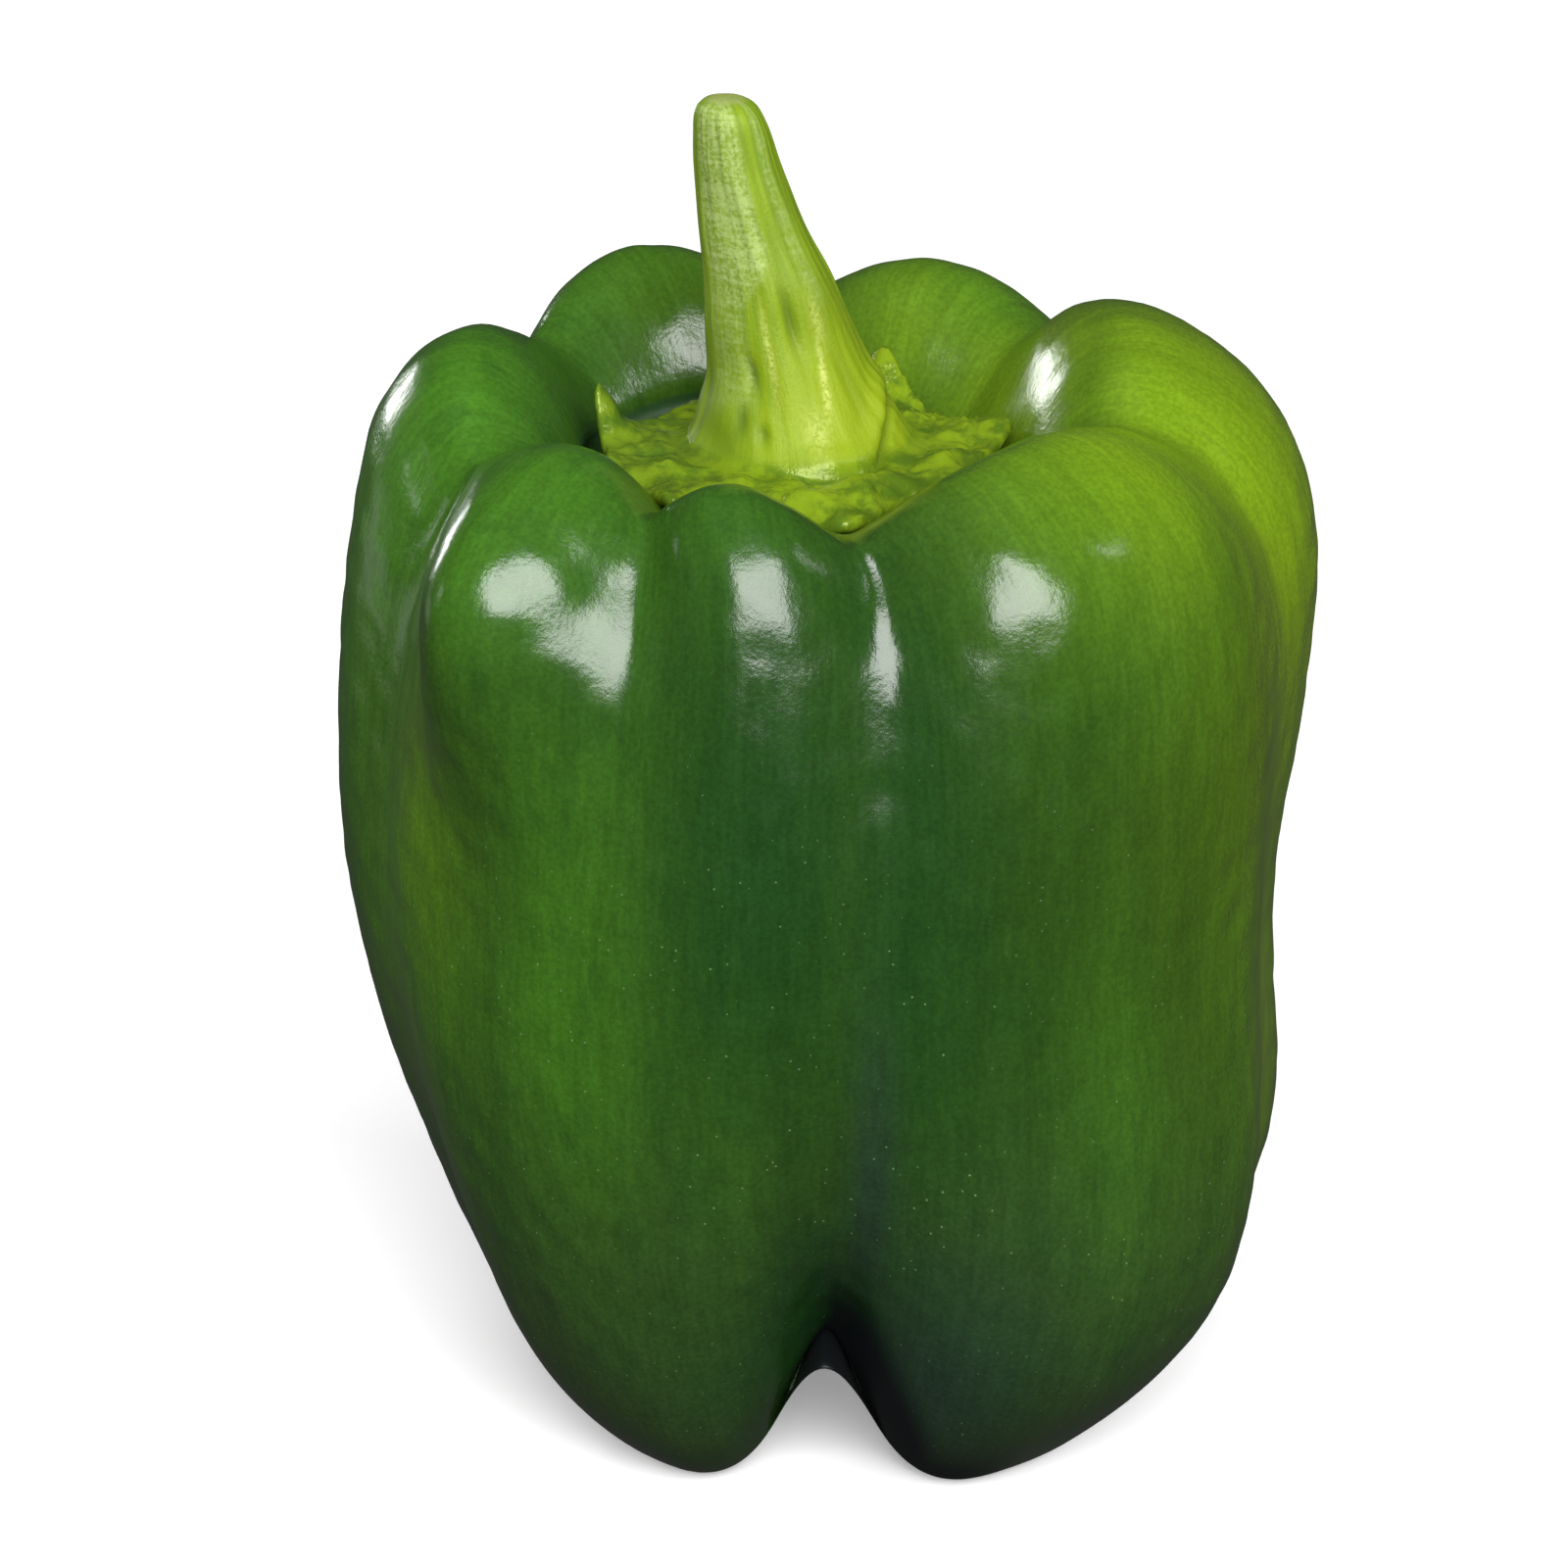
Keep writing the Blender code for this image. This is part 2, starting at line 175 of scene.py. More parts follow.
# %% Fix the stations of the profile
def fruit_stations(directions):
    """The lobes' outline at sixteen stations, cut back by the grooves along the profile's own normal.

    Each row is radius, height, share of the hollow's shift, way down the flank, the share of the
    grooves' depth at crest, waist and foot, and how round the grooves' bottoms are.
    """
    crest_r, crest_z, shoulder, belly, waist, hip, ankle, sole = (
        around(column, down, directions) for column, down in enumerate(LOBE_DOWN, start=2)
    )
    level = np.ones_like(directions)
    stations = (
        (0 * level, SEAT_Z * level, 1.0, 0.0, 0.0, 0.0, 0.0, 0.1),
        (SEAT_RADIUS * level, SEAT_Z * level, 1.0, 0.0, 0.0, 0.0, 0.0, 0.1),
        (WALL_RADIUS * level, WALL_Z * level, 1.0, 0.0, 0.15, 0.0, 0.0, 0.1),
        (crest_r - LIP_INSIDE_CREST, crest_z - LIP_BELOW_CREST, 1.0, 0.0, 0.6, 0.0, 0.0, 0.06),
        (crest_r, crest_z, 1.0, 0.0, 1.0, 0.0, 0.0, 0.05),
        (crest_r + 0.62 * (shoulder - crest_r), crest_z - 0.27 * (crest_z - SHOULDER_Z), 0.5, 0.05,
         0.95, 0.0, 0.0, 0.05),
        (shoulder, SHOULDER_Z * level, 0.0, 0.15, 0.6, 0.3, 0.0, 0.07),
        (belly, BELLY_Z * level, 0.0, 0.3, 0.2, 0.8, 0.0, 0.1),
        (waist, WAIST_Z * level, 0.0, 0.5, 0.0, 1.0, 0.0, 0.12),
        (hip, HIP_Z * level, 0.0, 0.75, 0.0, 0.5, 0.35, 0.1),
        (ankle, ANKLE_Z * level, 0.0, 0.9, 0.0, 0.0, 0.8, 0.08),
        (sole + TOE_BEYOND_SOLE, TOE_Z * level, 0.0, 1.0, 0.0, 0.0, 1.0, 0.08),
        (sole + SOLE_HALF_WIDTH, 0 * level, 0.0, 1.0, 0.0, 0.0, 1.0, 0.08),
        (sole - SOLE_HALF_WIDTH, 0 * level, 0.0, 1.0, 0.0, 0.0, 1.0, 0.08),
        (ARCH_RADIUS * level, ARCH_Z * level, 0.0, 1.0, 0.0, 0.0, 0.5, 0.1),
        (0 * level, DIMPLE_Z * level, 0.0, 1.0, 0.0, 0.0, 0.0, 0.1),
    )
    radii = np.array([station[0] for station in stations])
    heights = np.array([station[1] for station in stations])
    shift = np.array([[station[2] * HOLLOW_X] for station in stations])
    run_r = np.gradient(radii.mean(axis=1))
    run_z = np.gradient(heights.mean(axis=1))
    length = np.hypot(run_r, run_z)
    for k, station in enumerate(stations):
        cut = groove_cut(directions, *station[3:])
        radii[k] += cut * run_z[k] / length[k]
        heights[k] -= cut * run_r[k] / length[k]
    radii[[0, -1]] = 0
    turn = np.radians(directions)
    return np.stack([radii * np.cos(turn) + shift, radii * np.sin(turn), heights], axis=2)


print("stations and directions:", fruit_stations(compass).shape[:2])

# %% Draw one smooth curve through the stations
def knots_of(stations):
    """How far along the profile each station lies: the sum of the mean steps before it."""
    steps = np.linalg.norm(np.diff(stations, axis=0), axis=2).mean(axis=1)
    return np.concatenate([[0], np.cumsum(steps)])


def smooth_through(stations, knots, where):
    """The cubic curve of even curvature through the stations, level at both ends, read at each where."""
    gaps = np.diff(knots)
    slopes = np.diff(stations, axis=0) / gaps[:, None, None]
    last = len(knots) - 1
    matrix = np.eye(last + 1)
    right_side = np.zeros_like(stations)
    right_side[0] = slopes[0] * (1, 1, 0)
    right_side[last] = slopes[-1] * (1, 1, 0)
    for k in range(1, last):
        matrix[k, k - 1:k + 2] = gaps[k], 2 * (gaps[k - 1] + gaps[k]), gaps[k - 1]
        right_side[k] = 3 * (gaps[k] * slopes[k - 1] + gaps[k - 1] * slopes[k])
    tangents = np.linalg.solve(matrix, right_side.reshape(last + 1, -1)).reshape(stations.shape)
    piece = np.clip(np.searchsorted(knots, where, side="right") - 1, 0, last - 1)
    gap = gaps[piece][:, None, None]
    t = ((where - knots[piece]) / gaps[piece])[:, None, None]
    return (
        (2 * t**3 - 3 * t**2 + 1) * stations[piece]
        + (t**3 - 2 * t**2 + t) * gap * tangents[piece]
        + (3 * t**2 - 2 * t**3) * stations[piece + 1]
        + (t**3 - t**2) * gap * tangents[piece + 1]
    )


def places_along(knots, step):
    """Places along a profile about one step apart, with every knot among them."""
    spans = zip(knots[:-1], knots[1:])
    parts = [np.linspace(a, b, int(np.ceil((b - a) / step)), endpoint=False) for a, b in spans]
    return np.concatenate(parts + [knots[-1:]])


print("stations lie at, mm:", np.round(knots_of(fruit_stations(compass)) / MM))

# %% Lay the fruit's rings
FRUIT_COLUMNS = 384
FRUIT_STEP = 0.74 * MM
fruit_directions = np.arange(FRUIT_COLUMNS) * 360 / FRUIT_COLUMNS
every_five_degrees = np.arange(0, 360, 5.0)
fruit_knots = knots_of(fruit_stations(every_five_degrees))
fruit_places = places_along(fruit_knots, FRUIT_STEP)
fruit_rings = smooth_through(fruit_stations(fruit_directions), fruit_knots, fruit_places)
fruit_rings[..., 2] = np.maximum(fruit_rings[..., 2] - SOLE_FLAT, 0)
print("profile of", round(fruit_knots[-1] / MM), "mm")
print(len(fruit_places), "rings of", FRUIT_COLUMNS, "points")

# %% [markdown]
# ## Small unevenness
#
# No grown wall is perfectly fair: it swells and sinks by about a tenth of a millimetre, and a glossy
# skin shows that at once, because each highlight wavers. Sums of flat waves in random directions give
# such swells at a chosen size. They come from a fixed seed, so every run gives the same pepper.

# %% Make waves, bumps and normals
def ripples(points, size, waves, seed):
    """The sum of flat waves in random directions, 0.7 to 1.5 sizes long, scaled to about 1 high."""
    rng = np.random.default_rng(seed)
    ways = rng.normal(size=(waves, 3))
    ways /= np.linalg.norm(ways, axis=1)[:, None]
    counts = 2 * np.pi / (size * rng.uniform(0.7, 1.5, waves))
    phases = rng.uniform(0, 2 * np.pi, waves)
    return np.cos(points @ (ways * counts[:, None]).T + phases).sum(axis=-1) / np.sqrt(waves / 2)


def hump(value, middle, width):
    """A bell-shaped hump: exp of minus the square of the distance from its middle over its width."""
    return np.exp(-((value - middle) / width) ** 2)


def turn_between(directions, middle):
    """The turn from a middle direction, from -180 to 180 degrees."""
    return (directions - middle + 180) % 360 - 180


def ramp(value, start, end):
    """0 before start, 1 after end, and 3t^2 - 2t^3 between them."""
    t = np.clip((value - start) / (end - start), 0, 1)
    return t * t * (3 - 2 * t)


def normals_of(rings):
    """The unit normals of a grid of rings: the cross product of its steps down and round."""
    round_step = np.roll(rings, -1, axis=1) - np.roll(rings, 1, axis=1)
    down_step = np.gradient(rings, axis=0)
    outwards = np.cross(down_step, round_step)
    return outwards / np.maximum(np.linalg.norm(outwards, axis=2, keepdims=True), 1e-12)


print("a hump one width from its middle:", round(float(hump(1.0, 0.0, 1.0)), 2))

# %% Measure how far down the wall each point lies
crest_place = fruit_knots[CREST_STATION]
beyond_crest = (fruit_places - crest_place) / (fruit_knots[-1] - crest_place)
within_crest = (fruit_places - crest_place) / crest_place
fruit_way = np.where(fruit_places > crest_place, beyond_crest, within_crest)[:, None]
fruit_turn = fruit_directions[None, :]
fruit_heights = fruit_rings[..., 2]
print("the way down runs from", fruit_way.min(), "to", fruit_way.max())

# %% Make the swells, the flutes and the swellings
SWELL = 0.08 * MM
PUCKER = 0.035 * MM
open_wall = ramp(fruit_way, -0.45, -0.15) * (1 - ramp(fruit_way, 0.62, 0.74))
swell = SWELL * ripples(fruit_rings, 17 * MM, waves=24, seed=3)
swell = swell + PUCKER * ripples(fruit_rings, 4 * MM, waves=30, seed=5)

# The front left lobe has shallow flutes down its shoulder, which split its highlight in three.
FLUTES_MIDDLE = 234.9
FLUTES_HALF_WIDTH = 9
FLUTE_TURN = 5.2
FLUTE_DEPTH = 0.06 * MM
across_lobe = turn_between(fruit_turn, FLUTES_MIDDLE)
flutes = np.cos(2 * np.pi * across_lobe / FLUTE_TURN) * hump(across_lobe, 0, FLUTES_HALF_WIDTH)
flutes = FLUTE_DEPTH * flutes * hump(fruit_heights, 87 * MM, 9 * MM) * ramp(fruit_way, 0.0, 0.08)

# Three small swellings of the wall shape one highlight each.
SWELLINGS = (
    # direction  way    wide  high   rise in mm
    (239.5,      0.165, 5.5,  0.045, 0.70),    # under the front left shoulder
    (22.0,       -0.38, 16.0, 0.10,  0.50),    # low on the inside of the right lobe
    (25.0,       -0.31, 7.0,  0.035, -0.10),   # a dimple above it
)
swellings = sum(
    rise * MM * hump(turn_between(fruit_turn, direction), 0, wide) * hump(fruit_way, way, high)
    for direction, way, wide, high, rise in SWELLINGS
)
print("the swellings rise by up to", round(float(swellings.max()) / MM, 2), "mm")

# %% Fold the wall back behind the calyx on the left, and move the points
BACK_FOLD_FROM, BACK_FOLD_TO = 98.0, 165.0
BACK_FOLD_WAY, BACK_FOLD_WIDTH = -0.395, 0.028
BACK_FOLD_DEPTH = 1.1 * MM
back_left = ramp(turn_between(fruit_turn, BACK_FOLD_FROM), 0, 10)
back_left = back_left * (1 - ramp(turn_between(fruit_turn, BACK_FOLD_TO), 0, 14))
back_fold = BACK_FOLD_DEPTH * back_left * hump(fruit_way, BACK_FOLD_WAY, BACK_FOLD_WIDTH)

uneven = swell * open_wall + flutes + swellings - back_fold
fruit_rings = fruit_rings + normals_of(fruit_rings) * uneven[..., None]
print("unevenness from", round(uneven.min() / MM, 2), "to", round(uneven.max() / MM, 2), "mm")

# %% [markdown]
# ## Turn rings into a mesh
#
# A grid of points becomes a surface by joining each point to its neighbours below and beside it. The
# first and last rings shrink to one point each, so both ends close and the surface has no hole. Values
# that the materials need, such as how far down a point lies, are stored on the points as attributes:
# they follow the surface, where a flat projection would smear on the steep flanks.

# %% Build a closed surface from rings
def closed_surface(name, rings):
    """A mesh object from rings of points: a quad for each cell, and a fan to one point at each end."""
    columns = rings.shape[1]
    points = np.vstack([rings[1:-1].reshape(-1, 3), rings[0].mean(axis=0), rings[-1].mean(axis=0)])
    top = len(points) - 2
    side = np.arange(columns)
    beside = (side + 1) % columns
    starts = (np.arange(len(rings) - 3) * columns)[:, None]
    quads = np.stack([starts + side, starts + columns + side, starts + columns + beside,
                      starts + beside], axis=2).reshape(-1, 4)
    last = (len(rings) - 3) * columns
    first_fan = np.stack([np.full(columns, top), side, beside], axis=1)
    last_fan = np.stack([np.full(columns, top + 1), last + beside, last + side], axis=1)
    mesh = bpy.data.meshes.new(name)
    mesh.from_pydata(points.tolist(), [], quads.tolist() + first_fan.tolist() + last_fan.tolist())
    mesh.shade_smooth()
    made = bpy.data.objects.new(name, mesh)
    bpy.context.scene.collection.objects.link(made)
    return made


def store(made, name, values):
    """Keep a grid of values, or of vectors, on the surface's points, in their order in the mesh."""
    flat = values[1:-1].reshape(-1, *values.shape[2:])
    ends = np.stack([values[0].mean(axis=0), values[-1].mean(axis=0)])
    full = np.concatenate([flat, ends]).astype(np.float32)
    kind, field = ("FLOAT_VECTOR", "vector") if full.ndim == 2 else ("FLOAT", "value")
    attribute = made.data.attributes.new(name, kind, "POINT")
    attribute.data.foreach_set(field, full.ravel())


fruit = closed_surface("pepper_fruit", fruit_rings)
print("pepper_fruit:", sum(len(p.vertices) - 2 for p in fruit.data.polygons), "triangles")

# %% [markdown]
# ## Where the skin changes colour
#
# The skin isn't one green. Where it is riper it turns yellow-green, and on the front middle it is a
# cool deep green. Shade is painted in as well: the grooves and the skin between the feet are painted
# that cool deep green, the skin is painted darker towards the feet, bluish dark on the right foot and at
# the foot of the front groove, and darker still behind the calyx and on the inner side of the front
# right foot. A few paler patches on the flanks are painted light, where the lamps reach only at a slant.
# Each of these fields is a handful of soft patches, each at a direction and a way down: -1 is the middle
# of the hollow, 0 the crest and 1 the blossom end.

# %% Lay out the colour fields
def patches(rows):
    """The strongest of some soft patches: amount by a hump in direction by a hump in the way down."""
    made = [
        amount * hump(turn_between(fruit_turn, direction), 0, wide) * hump(fruit_way, way, high)
        for direction, way, wide, high, amount in rows
    ]
    return np.maximum.reduce(made)


# Painted light in part: the left groove and left flank patches, and partly the right flank, lighten sides
# that the lamps reach only at a slant. The others are the skin's own yellow-green.
yellowing_and_painted_light = patches((
    # direction  way    wide  high  amount
    (356.0,      0.17,  32.0, 0.28, 1.00),   # right lobe
    (350.0,      0.42,  18.0, 0.26, 0.70),   # right flank
    (328.0,      0.02,  26.0, 0.13, 0.80),   # front right shoulder
    (211.0,      0.27,  10.0, 0.13, 0.28),   # left groove
    (200.0,      0.45,  13.0, 0.20, 0.12),   # left flank
    (18.0,       -0.30, 34.0, 0.35, 0.85),   # inside of the right lobe
    (65.0,       -0.25, 26.0, 0.35, 0.42),   # inside of the back right lobe
    (110.0,      -0.20, 24.0, 0.30, 0.12),   # inside of the back left lobe
))
# The left flank patch is partly painted light: it lightens a side that the lamps reach only at a slant.
mid_green = patches((
    (182.0,      0.10,  34.0, 0.34, 1.00),   # left lobe
    (224.0,      0.00,  20.0, 0.15, 0.90),   # front left shoulder
    (256.0,      0.00,  14.0, 0.10, 0.45),   # front middle shoulder
    (318.0,      0.06,  24.0, 0.16, 0.85),   # front right
    (345.0,      0.45,  24.0, 0.30, 0.60),   # right flank
    (236.0,      0.42,  12.0, 0.24, 0.75),   # front left flank
    (205.0,      0.38,  20.0, 0.32, 1.00),   # left flank
    (307.0,      0.50,  8.0,  0.22, 0.45),   # front right flank
    (256.0,      0.55,  6.0,  0.14, 0.35),   # front middle flank
    (120.0,      0.05,  45.0, 0.25, 0.70),   # back
    (60.0,       0.10,  30.0, 0.30, 0.80),   # back right
))
for title, field in (("yellowing_and_painted_light", yellowing_and_painted_light), ("mid green", mid_green)):
    print(title, "covers", round(100 * float((field > 0.3).mean())), "% of the grid")

# %% Lay out the cool and the dark fields
# Painted shade in part: the grooves and the skin between the front feet are painted a cool deep green as
# shade. The front middle patch is the skin's own cool green.
cool_deep_and_shade = patches((
    # direction  way    wide  high  amount
    (262.0,      0.28,  12.0, 0.16, 0.80),   # front middle
    (280.0,      0.30,  10.0, 0.25, 0.70),   # front groove
    (88.0,       0.35,  14.0, 0.30, 0.60),   # back groove
    (272.0,      0.70,  20.0, 0.14, 1.00),   # between the front feet
))
# Painted shade: the skin is painted darker towards the feet.
foot_shade = ramp(fruit_way, 0.38, 0.80) + 0 * fruit_turn
# Painted shade: bluish dark on the right foot and at the foot of the front groove.
bluish_shade = patches((
    # direction  way    wide  high  amount
    (286.0,      0.69,  13.0, 0.12, 0.85),   # right foot
    (275.6,      0.53,  3.2,  0.13, 0.80),   # foot of the front groove
))

# The inner side of the front right foot looks away from the light, and is painted nearly black as shade.
FOLD_EDGE_SOFTNESS = 0.035
fold_edge = 0.645 + 0.0100 * np.clip(turn_between(fruit_turn, 276.5), 0, 12)
fold_start = 268.0 - 7.0 * ramp(fruit_way, 0.68, 0.78)
fold_end = 1 - ramp(turn_between(fruit_turn, 295.0), 0, 14)
fold_shade = ramp(fruit_way, fold_edge - FOLD_EDGE_SOFTNESS, fold_edge + FOLD_EDGE_SOFTNESS)
fold_shade = fold_shade * ramp(turn_between(fruit_turn, fold_start), 0, 4) * fold_end
print("cool deep covers", round(100 * float((cool_deep_and_shade > 0.3).mean())), "% of the grid")

# %% Store the fields and the skin's grain
GRAIN_RADIUS = 43 * MM
GRAIN_SQUASH = 0.13
around_turn = np.radians(fruit_turn + 0 * fruit_way)
fruit_grain = np.stack([GRAIN_RADIUS * np.cos(around_turn), GRAIN_RADIUS * np.sin(around_turn),
                        GRAIN_SQUASH * (fruit_places[:, None] + 0 * fruit_turn)], axis=2)
fruit_fields = {
    "grain": fruit_grain,
    "yellowing_and_painted_light": yellowing_and_painted_light,
    "mid_green": mid_green,
    "cool_deep_and_shade": cool_deep_and_shade,
    "foot_shade": foot_shade,
    "bluish_shade": bluish_shade,
    "fold_shade": fold_shade,
    "back_left": back_left + 0 * fruit_way,
    "way": fruit_way + 0 * fruit_turn,
}
for name, field in fruit_fields.items():
    store(fruit, name, field)
print("attributes:", [a.name for a in fruit.data.attributes])

# %% [markdown]
# ## The stem
#
# The stem leans to the left and swells towards its foot. It isn't round: seven ribs run up it, with
# flatter faces between them, and the widest face is at the front left. A rounded polygon gives that: a
# circle drawn in towards the straight chord between two ribs. Bevelled curves could make the lean, but
# not the ribs that fade into the round foot.

# %% Write down the stem's run and its ribs
STEM = np.array([
    # x      radius  z
    (-9.3,   0.0,    123.6),
    (-9.2,   2.2,    123.2),
    (-8.8,   3.3,    120.8),
    (-8.4,   3.7,    117.7),
    (-7.6,   4.2,    114.2),
    (-6.6,   4.8,    110.5),
    (-5.6,   5.6,    107.0),
    (-4.5,   6.5,    102.0),
    (-3.6,   7.3,    98.3),
    (-3.1,   8.4,    95.4),
    (-2.8,   9.2,    93.4),
    (-2.7,   10.2,   92.2),
])
STEM_RIBS = np.array([-34.0, 10.0, 62.0, 126.0, 192.0, 270.0, 303.0])
RIB_FLATNESS = 0.40
RIB_SOFTNESS = 5.0
print(len(STEM_RIBS), "ribs round a stem", round(STEM[0, 2] - STEM[-1, 2]), "mm long")

# %% Draw the ribbed outline
def rib_outline(directions):
    """The rounded polygon through the ribs: 1 at a rib, and towards cos(half) / cos(away) between."""
    ribs = np.sort(STEM_RIBS % 360)
    ribs = np.concatenate([ribs[-1:] - 360, ribs, ribs[:1] + 360])
    blurred = np.zeros_like(directions)
    shifts = np.linspace(-2, 2, 9)
    weights = np.exp(-shifts**2)
    for shift, weight in zip(shifts, weights):
        read = (directions + shift * RIB_SOFTNESS) % 360
        after = np.searchsorted(ribs, read, side="right")
        low, high = ribs[after - 1], ribs[after]
        half = np.radians(high - low) / 2
        away = np.radians(read - low) - half
        blurred += weight * np.cos(half) / np.cos(away)
    return 1 - RIB_FLATNESS * (1 - blurred / weights.sum())


print("ribs draw the stem in by up to", round(100 * (1 - rib_outline(compass).min())), "%")

# %% [markdown]
# ## The calyx
#
# The calyx is the green star that held the flower. Its lobes lie in the hollow, some with a rounded
# tip, one bent up into a thin horn on the left. It is one skin with the stem, so both are one surface:
# rings run from the cut tip down to the foot, out to the edge and back underneath.

# %% Write down the calyx lobes
CALYX_LOBES = np.array([
    # direction  reach  lift  half width
    (4.0,        4.0,   2.0,  34.0),   # right
    (63.0,       2.0,   4.6,  26.0),   # back right
    (118.0,      0.5,   0.5,  30.0),   # back left
    (178.0,      3.0,   5.6,  19.0),   # left, a thin horn
    (204.0,      3.8,   1.4,  28.0),   # left, beside the horn
    (237.0,      6.3,   1.4,  32.0),   # front left
    (281.0,      6.5,   0.0,  30.0),   # front
    (325.0,      2.5,   0.5,  28.0),   # front right
])
TIP_ROUNDING = 2.5
CALYX_RIM_RADIUS = 15 * MM
CALYX_Z = 91.3 * MM
CALYX_THICKNESS = 1.4 * MM
CALYX_SHARES = (0.35, 0.75, 1.0)
BASE_RADIUS = 9.5 * MM
CLEARANCE = 0.4 * MM
HOLLOW_STEP = 1.2 * MM
STEM_COLUMNS = 300
STEM_STEP = 0.26 * MM
print(len(CALYX_LOBES), "calyx lobes")

# %% Read the calyx and the hollow at any direction
def calyx_figure(directions, column, power):
    """A figure of the calyx's lobes at each direction, full at a lobe's middle and easing to its sides."""
    turn = turn_between(directions[:, None], CALYX_LOBES[None, :, 0])
    away = np.sqrt(turn**2 + TIP_ROUNDING**2) - TIP_ROUNDING
    near = np.clip(1 - away / CALYX_LOBES[None, :, 3], 0, None) ** power
    return near @ CALYX_LOBES[:, column] * MM


def ring(directions, middle_x, radius, height):
    """A level ring: radius by cosine and sine of the direction, round a middle on the X axis."""
    turn = np.radians(directions)
    level = np.ones_like(directions)
    return np.stack([middle_x + radius * np.cos(turn), radius * np.sin(turn), height * level], axis=1)


def hollow_heights(directions, rings):
    """The height of the fruit's hollow under each point of rings that run along the directions."""
    places = places_along(fruit_knots[:CREST_STATION + 1], HOLLOW_STEP)
    hollow = smooth_through(fruit_stations(directions), fruit_knots, places)
    out = np.hypot(hollow[..., 0] - HOLLOW_X, hollow[..., 1])
    asked = np.hypot(rings[..., 0] - HOLLOW_X, rings[..., 1])
    columns = range(len(directions))
    read = [np.interp(asked[:, k], out[:, k], hollow[:, k, 2]) for k in columns]
    return np.array(read).T - SOLE_FLAT


calyx_reach = CALYX_RIM_RADIUS + calyx_figure(compass, 1, 1.5)
print("calyx reach by direction, mm:", np.round(calyx_reach / MM, 1))

# %% Lay the stem's and the calyx's stations
stem_directions = np.arange(STEM_COLUMNS) * 360 / STEM_COLUMNS
stem_turn = stem_directions[None, :]
reach = CALYX_RIM_RADIUS + calyx_figure(stem_directions, 1, 1.5)
lift = calyx_figure(stem_directions, 2, 3.0)
foot_x, foot_radius, foot_z = STEM[-1] * MM
outline = rib_outline(stem_directions)
RIB_CREST = 1.03
RIBS_FADE_BY = 0.75
RIBS_FADE_FROM, RIBS_FADE_TO = 106 * MM, 94 * MM
stations = []
for x, radius, height in STEM * MM:
    ribbed = 1 - RIBS_FADE_BY * float(ramp(height, RIBS_FADE_FROM, RIBS_FADE_TO))
    stations.append(ring(stem_directions, x, radius * (RIB_CREST + ribbed * (outline - 1)), height))
for share in CALYX_SHARES:
    radius = foot_radius + (reach - foot_radius) * share
    height = CALYX_Z + (foot_z - CALYX_Z) * (1 - share) ** 3 + lift * share**3
    stations.append(ring(stem_directions, foot_x, radius, height))
stations = np.array(stations)
stem_knots = knots_of(stations)
stem_places = places_along(stem_knots, STEM_STEP)
stem_top = smooth_through(stations, stem_knots, stem_places)
foot_place = stem_knots[len(STEM) - 1]
past_foot = (stem_places - foot_place)[:, None]
calyx_run = stem_knots[-1] - foot_place
print("stem of", round(foot_place / MM), "mm, calyx of", round(calyx_run / MM), "mm more")

# %% [markdown]
# ## Folds, dents and warts
#
# Up close the stem has fine fibres, a few sunken spots and, where it meets the calyx at the front and
# right, a fold: the swollen foot overhangs the lobes. The calyx itself is lumpy, and it has small warts
# at its back right. Each of these forms is a height added along the surface's normal.

# %% Add the small forms of the stem
stem_heights = stem_top[..., 2]
STEM_GRAIN_RADIUS = 8 * MM
STEM_GRAIN_SQUASH = 0.12
stem_grain_turn = np.radians(stem_turn + 0 * past_foot)
stem_grain = np.stack([STEM_GRAIN_RADIUS * np.cos(stem_grain_turn),
                       STEM_GRAIN_RADIUS * np.sin(stem_grain_turn),
                       STEM_GRAIN_SQUASH * (stem_places[:, None] + 0 * stem_turn)], axis=2)
on_stem = 1 - ramp(past_foot, -1.5 * MM, 0.5 * MM)
tip_round = ramp(stem_places[:, None], 1.0 * MM, 5.0 * MM)
fibres = 0.035 * MM * ripples(stem_grain, 1.7 * MM, waves=36, seed=11) * on_stem * tip_round
sway = 0.10 * MM * ripples(stem_top, 7 * MM, waves=20, seed=12) * on_stem * tip_round

DENTS = (
    # direction  height  wide  high  depth
    (285.0,      104.8,  5.0,  2.9,  0.50),
    (243.0,      99.8,   4.5,  1.3,  0.40),
    (235.0,      95.9,   5.0,  1.5,  0.45),
    (250.0,      95.0,   4.0,  0.8,  0.35),
    (318.0,      99.0,   6.0,  3.0,  0.20),
    (195.0,      97.0,   6.0,  3.0,  0.25),
)
dents = sum(
    depth * MM * hump(turn_between(stem_turn, direction), 0, wide) * hump(stem_heights, z * MM, high * MM)
    for direction, z, wide, high, depth in DENTS
) * on_stem
print("deepest dent", round(float(dents.max()) / MM, 2), "mm")

# %% Add the fold and the lumps of the calyx
overhang = np.maximum(
    hump(turn_between(stem_turn, 332.0), 0, 34), 0.85 * hump(turn_between(stem_turn, 285.0), 0, 20)
)
climb = ramp(turn_between(stem_turn, 305.0), 0, 50) * (1 - ramp(turn_between(stem_turn, 20.0), 0, 30))
fold_line = (0.4 + 0.25 * np.cos(np.radians(5 * stem_turn)) - 5.0 * climb) * MM
CREASE_DEPTH, COLLAR_HEIGHT, PILLOW_HEIGHT = 1.15 * MM, 0.7 * MM, 1.0 * MM
LUMP_HEIGHT, KNOB_HEIGHT, WART_HEIGHT = 0.26 * MM, 0.10 * MM, 0.17 * MM
WARTS_MIDDLE = 32.0
crease = CREASE_DEPTH * overhang * hump(past_foot, fold_line, 0.6 * MM)
collar = COLLAR_HEIGHT * overhang * hump(past_foot, fold_line - 1.8 * MM, 1.4 * MM)
